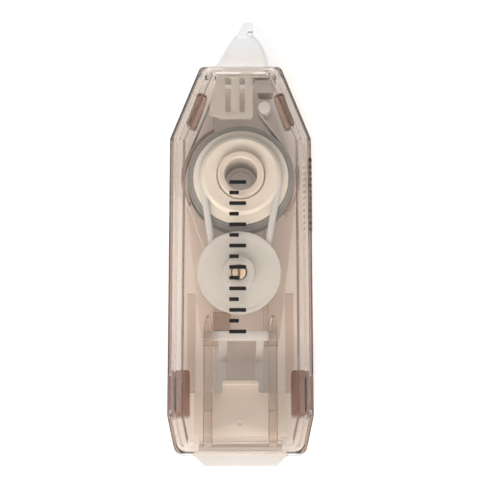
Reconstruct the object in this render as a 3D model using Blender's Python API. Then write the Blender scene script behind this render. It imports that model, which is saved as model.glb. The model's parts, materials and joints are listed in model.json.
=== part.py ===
# Correction tape roller, pen shaped, with a push-to-extend carriage.
# It lies on its back: X is its width, +Y points to the tip and Z is its thickness, from the back face up.

import math

import bmesh
import bpy
from mathutils import Vector

for leftover in list(bpy.data.objects):
    bpy.data.objects.remove(leftover, do_unlink=True)

mm = 0.001

# Driving dimensions

# Case: outline corners, profile through the thickness, wall.
case_top_y = 39.3 * mm
case_top_half = 9.0 * mm
case_shoulder_y = 22.7 * mm
case_shoulder_half = 15.7 * mm
case_hip_y = -39.0 * mm
case_hip_half = 15.95 * mm
case_bottom_y = -47.2 * mm
case_bottom_half = 14.2 * mm
case_depth = 16.0 * mm
case_wall = 1.3 * mm
case_corner_radius = 1.5 * mm
edge_inset = 1.5 * mm
edge_height = 3.0 * mm
face_bevel_inset = 3.2 * mm
face_bevel_height = 1.0 * mm
seam_gap = 0.2 * mm

# Clearances.
slide_gap = 0.3 * mm
seat_gap = 0.2 * mm
turn_gap = 0.3 * mm
close_gap = 0.1 * mm
tape_gap = 0.15 * mm

# Tape, belt and the two reels.
tape_width = 5.0 * mm
tape_thickness = 0.12 * mm
supply_x = 0.1 * mm
supply_y = 14.4 * mm
take_up_x = -0.3 * mm
take_up_y = -7.5 * mm
tape_roll_radius = 12.0 * mm
spool_radius = 7.0 * mm
hub_radius = 5.2 * mm
supply_axle_radius = 3.3 * mm
supply_axle_wall = 0.8 * mm
pulley_flange_radius = 10.65 * mm
pulley_belt_radius = 8.6 * mm
pulley_lip_radius = 8.9 * mm
pulley_lip_height = 0.8 * mm
take_up_belt_radius = 5.1 * mm
take_up_axle_radius = 1.5 * mm
take_up_drum_radius = 3.8 * mm
take_up_disc_radius = 9.25 * mm
take_up_collar_radius = 3.5 * mm
take_up_collar_height = 1.2 * mm
liner_wrap_radius = 5.2 * mm
belt_radius = 0.75 * mm
reel_flange = 0.6 * mm
disc_thickness = 0.4 * mm
washer_thickness = 0.5 * mm
pulley_lip_chamfer = 0.4 * mm
disc_rim_width = 1.0 * mm
disc_rim_height = 0.12 * mm

# Carriage.
runner_height = 1.0 * mm
runner_width = 1.0 * mm
runner_x = 5.5 * mm
plate_thickness = 1.0 * mm
plate_rim = 0.7 * mm
guide_wall = 0.4 * mm
crossbar_half = 8.5 * mm
crossbar_y = -21.5 * mm
crossbar_width = 2.0 * mm
strut_half = 3.2 * mm
riser_inset = 0.6 * mm
plate_nose_gap = 1.2 * mm
plate_corner_inset = 0.5 * mm
axle_split = 0.5 * mm
guide_arcs = ((118, 206), (-40, 12))  # degrees round the supply reel
slide_travel = 10.5 * mm
post_x = 5.4 * mm
post_y = 30.5 * mm
post_radius = 1.4 * mm
post_rise = 1.2 * mm

# Nose.
nose_left = -5.5 * mm
nose_right = 6.4 * mm
nose_tip_y = 50.4 * mm
nose_wall = 0.4 * mm
nose_root = 1.0 * mm
# The dome: distance from the tip, in from the left, in from the right, and thinner each side.
nose_stations = (
    (9.9 * mm, 0, 0, 0),
    (8.5 * mm, 0.75 * mm, 0.25 * mm, 0.02 * mm),
    (7.1 * mm, 1.5 * mm, 0.7 * mm, 0.04 * mm),
    (5.7 * mm, 2.25 * mm, 1.3 * mm, 0.06 * mm),
    (4.4 * mm, 2.95 * mm, 2.0 * mm, 0.08 * mm),
    (3.5 * mm, 3.55 * mm, 2.7 * mm, 0.1 * mm),
    (3.0 * mm, 4.3 * mm, 3.4 * mm, 0.13 * mm),
)
nose_corner_radius = 1.4 * mm
collar_left = 3.95 * mm
collar_right = 7.7 * mm
collar_length = 3.7 * mm
tongue_left = -5.2 * mm
tongue_right = 2.75 * mm
tongue_length = 8.9 * mm
tongue_thickness = 1.1 * mm
tongue_slot_width = 1.4 * mm
tongue_slot_places = (1.8 * mm, 4.95 * mm)
tongue_slot_root = 1.2 * mm
tongue_slot_end = 0.5 * mm
channel_width = 0.7 * mm
head_inset = 0.3 * mm

# Push button.
button_half = 10.1 * mm
button_tail_half = 7.9 * mm
button_lug_half = 4.0 * mm
button_lug_y = -31.0 * mm
button_shoulder_y = -33.8 * mm
button_end_y = -49.8 * mm
button_plate = 2.2 * mm
button_grip_depth = 5.6 * mm
button_overlap = 2.5 * mm
button_slot_radius = 0.25 * mm

# Side release buttons.
release_y = -33.9 * mm
release_pad_length = 7.5 * mm
release_pad_depth = 6.4 * mm
release_flange_length = 9.9 * mm
release_flange_depth = 7.2 * mm
release_travel = 0.7 * mm

# Ribs inside and outside the case.
rail_x = 7.05 * mm
rail_width = 1.8 * mm
rail_top_y = -17.6 * mm
rail_height = 1.6 * mm
rail_ramp = 3.0 * mm
side_rib_x = 9.75 * mm
side_rib_width = 1.8 * mm
side_rib_top_y = -12.5 * mm
side_rib_bottom_y = -34.0 * mm
side_rib_height = 2.0 * mm
corner_post_size = 1.9 * mm
corner_post_length = 3.0 * mm
corner_post_inset = 0.4 * mm
# How far out from the top corner, and how far down from the top, each post stands.
corner_post_places = ((0.0 * mm, 8.2 * mm), (2.9 * mm, 13.8 * mm))
grip_rib_count = 12
grip_rib_pitch = 1.4 * mm
grip_rib_width = 0.6 * mm
grip_rib_height = 0.3 * mm
grip_first_y = 2.2 * mm

# Heights in the stack, all worked out from the back face up.
inner_floor = case_wall
inner_roof = case_depth - case_wall
plate_low = inner_floor + runner_height + slide_gap
plate_high = plate_low + plate_thickness
reel_low = plate_high + seat_gap
tape_low = reel_low + reel_flange + seat_gap
tape_high = tape_low + tape_width
tape_middle = (tape_low + tape_high) / 2
pulley_low = tape_high + seat_gap
belt_z = pulley_low + reel_flange + close_gap + belt_radius
belt_low = belt_z - belt_radius
belt_high = belt_z + belt_radius
disc_low = belt_high + seat_gap
disc_high = disc_low + disc_thickness
rail_low = inner_roof - rail_height
nose_half_depth = tape_middle - plate_high - slide_gap
wall_overlap = case_wall / 4
plate_overlap = 0.3 * mm
edge_round = 0.3 * mm
corner_round = 0.5 * mm
disc_face = disc_high - disc_rim_height
# Faces that would lie in one plane when two bodies of a piece join are set apart by this much.
joint_step = 0.1 * mm

turn_steps = 96
fine_steps = 48

supply = Vector((supply_x, supply_y))
take_up = Vector((take_up_x, take_up_y))
post = Vector((post_x, post_y))
supply_flange_radius = tape_roll_radius + close_gap
take_up_back_radius = (supply - take_up).length - supply_flange_radius - turn_gap


# Materials

def make_material(name, colour, roughness, metallic=0.0, alpha=1.0):
    material = bpy.data.materials.new(name)
    material.use_nodes = True
    shader = material.node_tree.nodes["Principled BSDF"]
    shader.inputs["Base Color"].default_value = (*colour, 1.0)
    shader.inputs["Roughness"].default_value = roughness
    shader.inputs["Metallic"].default_value = metallic
    shader.inputs["Alpha"].default_value = alpha
    return material


# Outlines

def inset_outline(points, distance):
    # Moves every side of a counter-clockwise outline inwards by the distance.
    moved = []
    count = len(points)
    for index in range(count):
        before = Vector(points[index - 1])
        here = Vector(points[index])
        after = Vector(points[(index + 1) % count])
        first = (here - before).normalized()
        second = (after - here).normalized()
        first_normal = Vector((-first.y, first.x))
        second_normal = Vector((-second.y, second.x))
        share = 1 + first_normal.dot(second_normal)
        moved.append(here + (first_normal + second_normal) * (distance / share))
    return moved


def round_outline(points, radius, steps=5):
    # Replaces every corner with an arc of the radius.
    rounded = []
    count = len(points)
    for index in range(count):
        here = Vector(points[index])
        to_before = (Vector(points[index - 1]) - here).normalized()
        to_after = (Vector(points[(index + 1) % count]) - here).normalized()
        half_angle = to_before.angle(to_after) / 2
        reach = radius / math.tan(half_angle)
        middle = here + (to_before + to_after).normalized() * (radius / math.sin(half_angle))
        start = here + to_before * reach - middle
        end = here + to_after * reach - middle
        turn = start.angle_signed(end)
        for step in range(steps + 1):
            angle = -turn * step / steps
            rotated = Vector((
                start.x * math.cos(angle) - start.y * math.sin(angle),
                start.x * math.sin(angle) + start.y * math.cos(angle),
            ))
            rounded.append(middle + rotated)
    return rounded


def rectangle(left, right, bottom, top):
    return [(left, bottom), (right, bottom), (right, top), (left, top)]


def arc(centre, radius, start, end, steps):
    # Points on an arc, angles in radians, counter-clockwise when end is above start.
    points = []
    for step in range(steps + 1):
        angle = start + (end - start) * step / steps
        points.append(Vector(centre) + Vector((math.cos(angle), math.sin(angle))) * radius)
    return points


def strip_outline(path, thickness):
    # The outline of a thin strip that follows an open path.
    left = []
    right = []
    for index, here in enumerate(path):
        before = path[max(index - 1, 0)]
        after = path[min(index + 1, len(path) - 1)]
        along = (Vector(after) - Vector(before)).normalized()
        across = Vector((-along.y, along.x)) * (thickness / 2)
        left.append(Vector(here) + across)
        right.append(Vector(here) - across)
    return right + left[::-1]


def hull(points):
    # The counter-clockwise convex outline around a set of points.
    ordered = sorted({(point[0], point[1]) for point in points})
    chains = []
    for run in (ordered, ordered[::-1]):
        chain = []
        for point in run:
            while len(chain) > 1 and (
                (chain[-1][0] - chain[-2][0]) * (point[1] - chain[-2][1])
                - (chain[-1][1] - chain[-2][1]) * (point[0] - chain[-2][0])
            ) <= 0:
                chain.pop()
            chain.append(point)
        chains.append(chain[:-1])
    return chains[0] + chains[1]


def angle_to(origin, target):
    offset = Vector(target) - Vector(origin)
    return math.atan2(offset.y, offset.x)


# Solids

def place(mesh, name, material, helper=False):
    made = bpy.data.objects.new(name, mesh)
    bpy.context.scene.collection.objects.link(made)
    if material:
        mesh.materials.append(material)
    if helper:
        made.hide_render = True
        made.display_type = "WIRE"
    return made


def loft(name, rings, material=None, helper=False, smooth_angle=30):
    # A closed solid through rings of points that all have the same count.
    shape = bmesh.new()
    rows = [[shape.verts.new(point) for point in ring] for ring in rings]
    count = len(rows[0])
    for lower, upper in zip(rows, rows[1:]):
        for index in range(count):
            other = (index + 1) % count
            shape.faces.new((lower[index], lower[other], upper[other], upper[index]))
    shape.faces.new(rows[0][::-1])
    shape.faces.new(rows[-1])
    bmesh.ops.recalc_face_normals(shape, faces=shape.faces)
    mesh = bpy.data.meshes.new(name)
    shape.to_mesh(mesh)
    shape.free()
    mesh.shade_smooth()
    mesh.set_sharp_from_angle(angle=math.radians(smooth_angle))
    return place(mesh, name, material, helper)


def prism(name, outline, low, high, material=None, helper=False):
    rings = [[(x, y, z) for x, y in outline] for z in (low, high)]
    return loft(name, rings, material, helper)


def bar_along_y(name, profile, start, end, helper=True):
    rings = [[(x, y, z) for x, z in profile] for y in (start, end)]
    return loft(name, rings, None, helper)


def turned(name, profile, centre, material, steps=turn_steps):
    # A ring turned about Z; the profile runs down its outer side and up its bore.
    mesh = bpy.data.meshes.new(name)
    points = [(radius, 0, height) for radius, height in profile]
    edges = [(index, (index + 1) % len(points)) for index in range(len(points))]
    mesh.from_pydata(points, edges, [])
    ring = place(mesh, name, material)
    ring.location = (centre[0], centre[1], 0)
    screw = ring.modifiers.new("Turn", "SCREW")
    screw.steps = steps
    screw.render_steps = steps
    screw.use_merge_vertices = True
    screw.merge_threshold = 0.00001
    return ring


def combine(target, operand, operation):
    boolean = target.modifiers.new(operand.name, "BOOLEAN")
    boolean.operation = operation
    boolean.object = operand


def cut(target, *cutters):
    for cutter in cutters:
        combine(target, cutter, "DIFFERENCE")


def join(target, *additions):
    for addition in additions:
        combine(target, addition, "UNION")


def join_meshes(name, pieces):
    # One helper that holds several separate solids.
    shape = bmesh.new()
    for piece in pieces:
        shape.from_mesh(piece.data)
    mesh = bpy.data.meshes.new(name)
    shape.to_mesh(mesh)
    shape.free()
    for piece in pieces:
        bpy.data.objects.remove(piece, do_unlink=True)
    return place(mesh, name, None, True)


def disc_helper(name, centre, radius, low, high, steps=fine_steps):
    outline = arc(centre, radius, 0, math.tau * (1 - 1 / steps), steps - 1)
    return prism(name, outline, low, high, None, True)


# Case

def case_corners():
    right = [
        (case_bottom_half, case_bottom_y),
        (case_hip_half, case_hip_y),
        (case_shoulder_half, case_shoulder_y),
        (case_top_half, case_top_y),
    ]
    return right + [(-x, y) for x, y in right[::-1]]


def case_profile():
    # Distance in from the outline against height, up the left side of the case.
    low = [
        (face_bevel_inset, 0),
        (edge_inset, face_bevel_height),
        (0, edge_height),
    ]
    return low + [(inset, case_depth - height) for inset, height in low[::-1]]


def shrunk_profile(distance):
    # The case profile moved inwards, as the inside of a wall, or outwards where the distance is negative.
    far = case_top_half
    points = case_profile() + [(far, case_depth), (far, 0)]
    return inset_outline(points[::-1], distance)[::-1][:6]


def case_rings(profile):
    rings = []
    for inset, height in profile:
        outline = round_outline(inset_outline(case_corners(), inset), case_corner_radius)
        rings.append([(x, y, height) for x, y in outline])
    return rings


def profile_inset_at(profile, height):
    # How far in from the outline the profile is at a height.
    for (first, low), (second, high) in zip(profile, profile[1:]):
        if low <= height <= high:
            return first + (second - first) * (height - low) / (high - low)
    return profile[0][0]


def half_at(y):
    # Half the width of the case's outline at a place along its straight side.
    share = (y - case_hip_y) / (case_shoulder_y - case_hip_y)
    return case_hip_half + (case_shoulder_half - case_hip_half) * share


def clipped_profile(profile, low, high):
    kept = [(inset, height) for inset, height in profile if low < height < high]
    start = (profile_inset_at(profile, low), low)
    end = (profile_inset_at(profile, high), high)
    return [start] + kept + [end]


def case_openings(side):
    nose_slot = rounded_slot(
        f"{side}_nose_slot",
        nose_left - slide_gap,
        nose_right + slide_gap,
        tape_middle - nose_half_depth - slide_gap,
        tape_middle + nose_half_depth + slide_gap,
        case_top_y - 2 * case_wall,
        case_top_y + case_wall,
        nose_corner_radius + slide_gap,
    )
    button_slot = rounded_slot(
        f"{side}_button_slot",
        -button_half - slide_gap,
        button_half + slide_gap,
        button_low - slide_gap,
        button_high + slide_gap,
        case_bottom_y - case_wall,
        case_bottom_y + 2 * case_wall,
        button_slot_radius,
    )
    windows = []
    for direction in (-1, 1):
        reach = sorted((direction * (case_hip_half - 3 * case_wall), direction * (case_hip_half + case_wall)))
        outline = rectangle(
            *reach,
            release_y - release_pad_length / 2 - slide_gap,
            release_y + release_pad_length / 2 + slide_gap,
        )
        window = prism(
            f"{side}_window_{direction}",
            outline,
            release_middle - release_pad_depth / 2 - slide_gap,
            release_middle + release_pad_depth / 2 + slide_gap,
            None,
            True,
        )
        windows.append(window)
    return [nose_slot, button_slot, *windows]


def rounded_slot(name, left, right, low, high, start, end, radius):
    profile = round_outline(rectangle(left, right, low, high), radius)
    return bar_along_y(name, profile, start, end)


def grip_ribs(side, low, high):
    # Ribs that stand off the right side wall and wrap onto its edge.
    outer = clipped_profile(shrunk_profile(-grip_rib_height), low, high)
    inner = clipped_profile(shrunk_profile(case_wall / 2), low, high)
    ribs = []
    for index in range(grip_rib_count):
        middle = grip_first_y + index * grip_rib_pitch
        half = half_at(middle)
        profile = [(half - inset, height) for inset, height in outer + inner[::-1]]
        start = middle - grip_rib_width / 2
        ribs.append(bar_along_y(f"rib_{index}", profile, start, start + grip_rib_width))
    return join_meshes(f"{side}_grip_ribs", ribs)


def corner_posts(side, low, high):
    # Four posts at the shoulders where the two shells meet.
    posts = []
    for out, down in corner_post_places:
        x = case_top_half - corner_post_inset + out
        y = case_top_y - down
        for direction in (-1, 1):
            reach = sorted((direction * x, direction * (x + corner_post_size)))
            half = corner_post_length / 2
            outline = round_outline(rectangle(*reach, y - half, y + half), edge_round, 2)
            posts.append(prism(f"post_{x}_{direction}", outline, low, high, None, True))
    joined = join_meshes(f"{side}_corner_posts", posts)
    within = loft(f"{side}_post_limit", case_rings(shrunk_profile(case_wall / 2)), None, True)
    combine(joined, within, "INTERSECT")
    return joined


def make_shell(name, side, low, high, material):
    shell = loft(name, case_rings(clipped_profile(case_profile(), low, high)), material)
    inner = shrunk_profile(case_wall)
    if side == "back":
        hollow_profile = clipped_profile(inner, inner_floor, high) + [(case_wall, high + case_wall)]
    else:
        hollow_profile = [(case_wall, low - case_wall)] + clipped_profile(inner, low, inner_roof)
    hollow = loft(f"{side}_hollow", case_rings(hollow_profile), None, True)
    cut(shell, hollow)
    return shell


def make_back_shell(material):
    high = case_depth / 2 - seam_gap / 2
    shell = make_shell("back_shell", "back", 0, high, material)
    runners = []
    for direction in (-1, 1):
        middle = direction * runner_x
        outline = rectangle(
            middle - runner_width / 2,
            middle + runner_width / 2,
            case_bottom_y + 2 * case_wall,
            case_top_y - 4 * case_wall,
        )
        runners.append(
            prism(
                f"runner_{direction}",
                outline,
                inner_floor - wall_overlap,
                inner_floor + runner_height,
                None,
                True,
            )
        )
    join(shell, join_meshes("back_runners", runners))
    join(shell, corner_posts("back", inner_floor - wall_overlap, high))
    join(shell, grip_ribs("back", edge_height / 2, high))
    cut(shell, *case_openings("back"))
    return shell


def make_front_shell(material):
    low = case_depth / 2 + seam_gap / 2
    shell = make_shell("front_shell", "front", low, case_depth, material)
    ribs = []
    for direction in (-1, 1):
        middle = direction * rail_x
        bottom = case_bottom_y + 1.2 * case_wall
        outline = [
            (middle - rail_width / 2, bottom),
            (middle + rail_width / 2, bottom),
            (middle + rail_width / 2, rail_top_y - rail_ramp),
            (middle + rail_width / 8, rail_top_y),
            (middle - rail_width / 8, rail_top_y),
            (middle - rail_width / 2, rail_top_y - rail_ramp),
        ]
        ribs.append(prism(f"rail_{direction}", outline, rail_low, inner_roof + wall_overlap, None, True))
        reach = sorted((direction * side_rib_x, direction * (side_rib_x + side_rib_width)))
        outline = rectangle(*reach, side_rib_bottom_y, side_rib_top_y)
        ribs.append(
            prism(
                f"side_rib_{direction}",
                outline,
                inner_roof - side_rib_height,
                inner_roof + wall_overlap,
                None,
                True,
            )
        )
    join(shell, join_meshes("front_ribs", ribs))
    join(shell, corner_posts("front", low, inner_roof + wall_overlap))
    join(shell, grip_ribs("front", low, case_depth - edge_height / 2))
    cut(shell, *case_openings("front"))
    return shell


# Side release buttons

release_middle = case_depth / 2


def make_release_button(side, direction, material):
    # A pad in the case's window, with a wider flange inside the wall that keeps it in.
    half = half_at(release_y)
    flange_inner = button_half + release_travel + slide_gap
    flange_outer = half - case_wall - slide_gap
    flange = round_outline(
        rectangle(
            *sorted((direction * flange_inner, direction * flange_outer)),
            release_y - release_flange_length / 2,
            release_y + release_flange_length / 2,
        ),
        corner_round,
        3,
    )
    button = prism(
        f"release_button_{side}",
        flange,
        release_middle - release_flange_depth / 2,
        release_middle + release_flange_depth / 2,
        material,
    )
    pad = prism(
        f"release_pad_{side}",
        rectangle(
            *sorted((direction * (flange_outer - case_wall), direction * half)),
            release_y - release_pad_length / 2,
            release_y + release_pad_length / 2,
        ),
        release_middle - release_pad_depth / 2,
        release_middle + release_pad_depth / 2,
        None,
        True,
    )
    join(button, pad)
    return button


# Paths of the tape, the liner and the belt

def head_outline():
    # The hooked tip of the nose, from the side.
    top = nose_tip_y
    return [
        (-1.0 * mm, top - 3.6 * mm),
        (1.6 * mm, top - 3.6 * mm),
        (1.65 * mm, top - 2.1 * mm),
        (2.9 * mm, top - 2.0 * mm),
        (2.95 * mm, top - 0.75 * mm),
        (2.3 * mm, top - 0.08 * mm),
        (1.3 * mm, top),
        (0.5 * mm, top - 0.3 * mm),
        (0.1 * mm, top - 1.0 * mm),
    ]


tape_side = inset_outline(head_outline(), tape_gap)
tape_path_radius = post_radius + tape_thickness / 2 + close_gap
liner_arc_radius = tape_roll_radius + turn_gap + seat_gap + guide_wall + tape_gap


def tape_path():
    # Off the right of the roll, round the left of the guide post, up to the tip.
    roll = tape_roll_radius + tape_thickness / 2 + close_gap
    gap = (post - supply).length
    heading = angle_to(supply, post)
    leave = heading - math.acos((roll + tape_path_radius) / gap)
    start = supply + Vector((math.cos(leave), math.sin(leave))) * roll
    corner = tape_side[3]
    to_corner = angle_to(post, corner) + math.acos(tape_path_radius / (Vector(corner) - post).length)
    bend = arc(post, tape_path_radius, leave + math.pi, to_corner, 6)
    return [start, *bend, corner, *tape_side[4:6], (tape_side[5] * 2 + tape_side[6]) / 3]


def liner_path():
    # Down the left of the tip, round the guide wall, onto the take-up spool.
    corner = tape_side[8]
    arrive = angle_to(supply, corner) + math.acos(liner_arc_radius / (Vector(corner) - supply).length)
    wrap = liner_wrap_radius + tape_thickness / 2 + close_gap
    span = (take_up - supply).length
    leave = angle_to(supply, take_up) - math.acos((liner_arc_radius - wrap) / span) + math.tau
    end = take_up + Vector((math.cos(leave), math.sin(leave))) * wrap
    return [(tape_side[5] + tape_side[6] * 2) / 3, tape_side[6], tape_side[7], corner,
            *arc(supply, liner_arc_radius, arrive, leave, 20), end]


def belt_path():
    span = (take_up - supply).length
    heading = angle_to(supply, take_up)
    spread = math.acos((pulley_belt_radius - take_up_belt_radius) / span)
    large = arc(supply, pulley_belt_radius, heading + spread, heading - spread + math.tau, 30)
    small = arc(take_up, take_up_belt_radius, heading - spread, heading + spread, 18)
    return large + small


# Carriage

def make_carriage_frame(material):
    # The plate that carries both reels, with its axles, guide walls and the tongue for the push button.
    rim = tape_roll_radius + plate_rim
    lobe = arc(supply, rim, 0, math.tau, fine_steps)
    small_lobe = arc(take_up, take_up_disc_radius + plate_rim, 0, math.tau, fine_steps)
    top = case_top_y - case_wall - slide_gap - plate_nose_gap
    corners = [
        (nose_left + plate_corner_inset, top),
        (nose_right - plate_corner_inset, top),
        (crossbar_half, crossbar_y - crossbar_width / 2),
        (-crossbar_half, crossbar_y - crossbar_width / 2),
    ]
    frame = prism("carriage_frame", hull(lobe + small_lobe + corners), plate_low, plate_high, material)

    floor_inset = profile_inset_at(shrunk_profile(case_wall), plate_low)
    strut_end = case_bottom_y + floor_inset + slide_travel + slide_gap
    strut = prism(
        "strut",
        rectangle(-strut_half, strut_half, strut_end, crossbar_y),
        plate_low,
        plate_high,
        None,
        True,
    )
    riser = prism(
        "riser",
        rectangle(riser_inset - strut_half, strut_half - riser_inset, strut_end, button_lug_y - riser_inset),
        plate_high - plate_overlap,
        button_plate_low - seat_gap,
        None,
        True,
    )
    supply_axle = disc_helper(
        "supply_axle", supply, supply_axle_radius, plate_high - plate_overlap, pulley_low
    )
    take_up_axle = disc_helper(
        "take_up_axle",
        take_up,
        take_up_axle_radius,
        plate_high - plate_overlap,
        disc_high + take_up_collar_height,
        32,
    )
    inner = tape_roll_radius + turn_gap + seat_gap
    walls = []
    for index, (start, end) in enumerate(guide_arcs):
        path = arc(supply, inner + guide_wall / 2, math.radians(start), math.radians(end), 20)
        outline = strip_outline(path, guide_wall)
        walls.append(prism(f"wall_{index}", outline, plate_high - plate_overlap, tape_high, None, True))
    join(frame, strut, riser, supply_axle, take_up_axle, join_meshes("guide_walls", walls))
    split = prism(
        "axle_split",
        rectangle(
            take_up.x - axle_split / 2,
            take_up.x + axle_split / 2,
            take_up.y - 2 * take_up_axle_radius,
            take_up.y + 2 * take_up_axle_radius,
        ),
        belt_low,
        disc_high + 2 * take_up_collar_height,
        None,
        True,
    )
    axle_bore = disc_helper(
        "axle_bore", supply, supply_axle_radius - supply_axle_wall, plate_high, pulley_low + case_wall
    )
    cut(frame, split, axle_bore)
    return frame


def make_guide_post(material):
    outline = arc(post, post_radius, 0, math.tau * (1 - 1 / 32), 31)
    return prism("tape_guide_post", outline, plate_high + seat_gap, tape_high + post_rise, material)


def make_crossbar(material):
    outline = rectangle(
        -crossbar_half,
        crossbar_half,
        crossbar_y - crossbar_width / 2,
        crossbar_y + crossbar_width / 2,
    )
    high = rail_low - slide_gap
    rounded = round_outline(outline, edge_round, 3)
    return prism("slide_crossbar", rounded, plate_high + seat_gap, high, material)


def make_nose(material):
    # A hollow-sided dome that leads the tape to a hooked tip.
    back = case_top_y - case_wall - slide_gap
    tip = nose_tip_y
    stations = [(back - nose_root, nose_left, nose_right, 0)]
    for from_tip, in_left, in_right, thinner in nose_stations:
        stations.append((tip - from_tip, nose_left + in_left, nose_right - in_right, thinner))
    rings = []
    for y, left, right, thinner in stations:
        half = nose_half_depth - thinner
        profile = round_outline(
            rectangle(left, right, tape_middle - half, tape_middle + half), nose_corner_radius, 6
        )
        rings.append([(x, y, z) for x, z in profile])
    nose = loft("nose_tip", rings, material, smooth_angle=40)

    tongue_low = tape_high + seat_gap
    tongue_high = tongue_low + tongue_thickness
    tongue = prism(
        "tongue",
        round_outline(rectangle(tongue_left, tongue_right, back - tongue_length, back), corner_round, 3),
        tongue_low,
        tongue_high,
        None,
        True,
    )
    collar_outline = rectangle(collar_left, collar_right, back - collar_length, back - joint_step)
    collar = prism(
        "collar",
        round_outline(collar_outline, corner_round, 3),
        plate_high + slide_gap + joint_step,
        tongue_high - joint_step,
        None,
        True,
    )
    cap_outline = rectangle(
        tongue_right + seat_gap,
        collar_right - joint_step,
        back - collar_length - joint_step,
        back - 2 * joint_step,
    )
    collar_cap = prism(
        "collar_cap",
        round_outline(cap_outline, corner_round, 3),
        tongue_low,
        tongue_high - 2 * joint_step,
        None,
        True,
    )
    land_low = tape_low - close_gap
    land_high = tape_high + close_gap
    land = prism(
        "land",
        inset_outline(head_outline(), head_inset),
        land_low - joint_step,
        land_high + joint_step,
        None,
        True,
    )
    cheeks = [
        prism("cheek_low", head_outline(), land_low - nose_wall, land_low, None, True),
        prism("cheek_high", head_outline(), land_high, land_high + nose_wall, None, True),
    ]
    join(nose, tongue, collar, collar_cap, land, join_meshes("cheeks", cheeks))

    tape = tape_path()
    liner = liner_path()
    channels = []
    for name, first, last in (("tape_channel", tape[7], tape[8]), ("liner_channel", liner[4], liner[3])):
        away = (Vector(last) - Vector(first)).normalized() * nose_wall
        outline = strip_outline([first, Vector(last) - away], channel_width)
        channels.append(prism(name, outline, land_low, land_high, None, True))
    slots = []
    for place_x in tongue_slot_places:
        left = tongue_left + place_x
        outline = round_outline(
            rectangle(
                left,
                left + tongue_slot_width,
                back - tongue_length + tongue_slot_end,
                back - tongue_slot_root,
            ),
            tongue_slot_width * 0.48,
            5,
        )
        low, high = tongue_low - joint_step, tongue_high + joint_step
        slots.append(prism(f"slot_{left}", outline, low, high, None, True))
    cut(nose, *channels, join_meshes("tongue_slots", slots))
    return nose


# Push button

button_low = release_middle - button_grip_depth / 2
button_high = release_middle + button_grip_depth / 2
button_plate_low = button_high - button_plate


def make_push_button(material):
    # A T-shaped plate on the carriage's tongue, with the thumb grip outside the case.
    wide_end = case_bottom_y + 2 * case_wall
    outline = [
        (button_half, button_shoulder_y),
        (button_lug_half, button_shoulder_y),
        (button_lug_half, button_lug_y),
        (-button_lug_half, button_lug_y),
        (-button_lug_half, button_shoulder_y),
        (-button_half, button_shoulder_y),
        (-button_half, wide_end),
        (button_half, wide_end),
    ]
    rounded = round_outline(outline, corner_round, 3)
    plate = prism("push_button", rounded, button_plate_low, button_high, material)
    grip = prism(
        "button_grip",
        round_outline(
            [
                (-button_half, wide_end + button_overlap),
                (-button_half, case_bottom_y - slide_gap),
                (-button_tail_half, button_end_y),
                (button_tail_half, button_end_y),
                (button_half, case_bottom_y - slide_gap),
                (button_half, wide_end + button_overlap),
            ],
            corner_round,
            3,
        ),
        button_low,
        button_high,
        None,
        True,
    )
    join(plate, grip)
    return plate


# Reels

def make_supply_reel(core_material, tape_material, washer_material, pulley_material):
    bore = supply_axle_radius + turn_gap
    drum_top = pulley_low - seat_gap - washer_thickness - close_gap
    hub_top = inner_roof - slide_gap
    core = turned(
        "supply_core",
        [
            (hub_radius, hub_top),
            (hub_radius, drum_top),
            (spool_radius, drum_top),
            (spool_radius, reel_low + reel_flange),
            (supply_flange_radius, reel_low + reel_flange),
            (supply_flange_radius, reel_low),
            (bore, reel_low),
            (bore, hub_top),
        ],
        supply,
        core_material,
    )
    roll = turned(
        "tape_roll",
        [
            (tape_roll_radius, tape_high),
            (tape_roll_radius, tape_low),
            (spool_radius + seat_gap, tape_low),
            (spool_radius + seat_gap, tape_high),
        ],
        supply,
        tape_material,
    )
    washer = turned(
        "clutch_washer",
        [
            (spool_radius - close_gap, drum_top + close_gap + washer_thickness),
            (spool_radius - close_gap, drum_top + close_gap),
            (hub_radius + seat_gap, drum_top + close_gap),
            (hub_radius + seat_gap, drum_top + close_gap + washer_thickness),
        ],
        supply,
        washer_material,
        fine_steps,
    )
    groove = pulley_belt_radius - belt_radius - seat_gap
    groove_low = pulley_low + reel_flange
    groove_high = belt_high + close_gap
    pulley = turned(
        "drive_pulley",
        [
            (pulley_lip_radius - pulley_lip_chamfer, groove_high + pulley_lip_height),
            (pulley_lip_radius, groove_high + pulley_lip_height - pulley_lip_chamfer),
            (pulley_lip_radius, groove_high),
            (groove, groove_high),
            (groove, groove_low),
            (pulley_flange_radius, groove_low),
            (pulley_flange_radius, pulley_low),
            (hub_radius + seat_gap, pulley_low),
            (hub_radius + seat_gap, groove_high + pulley_lip_height),
        ],
        supply,
        pulley_material,
    )
    return core, roll, washer, pulley


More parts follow.
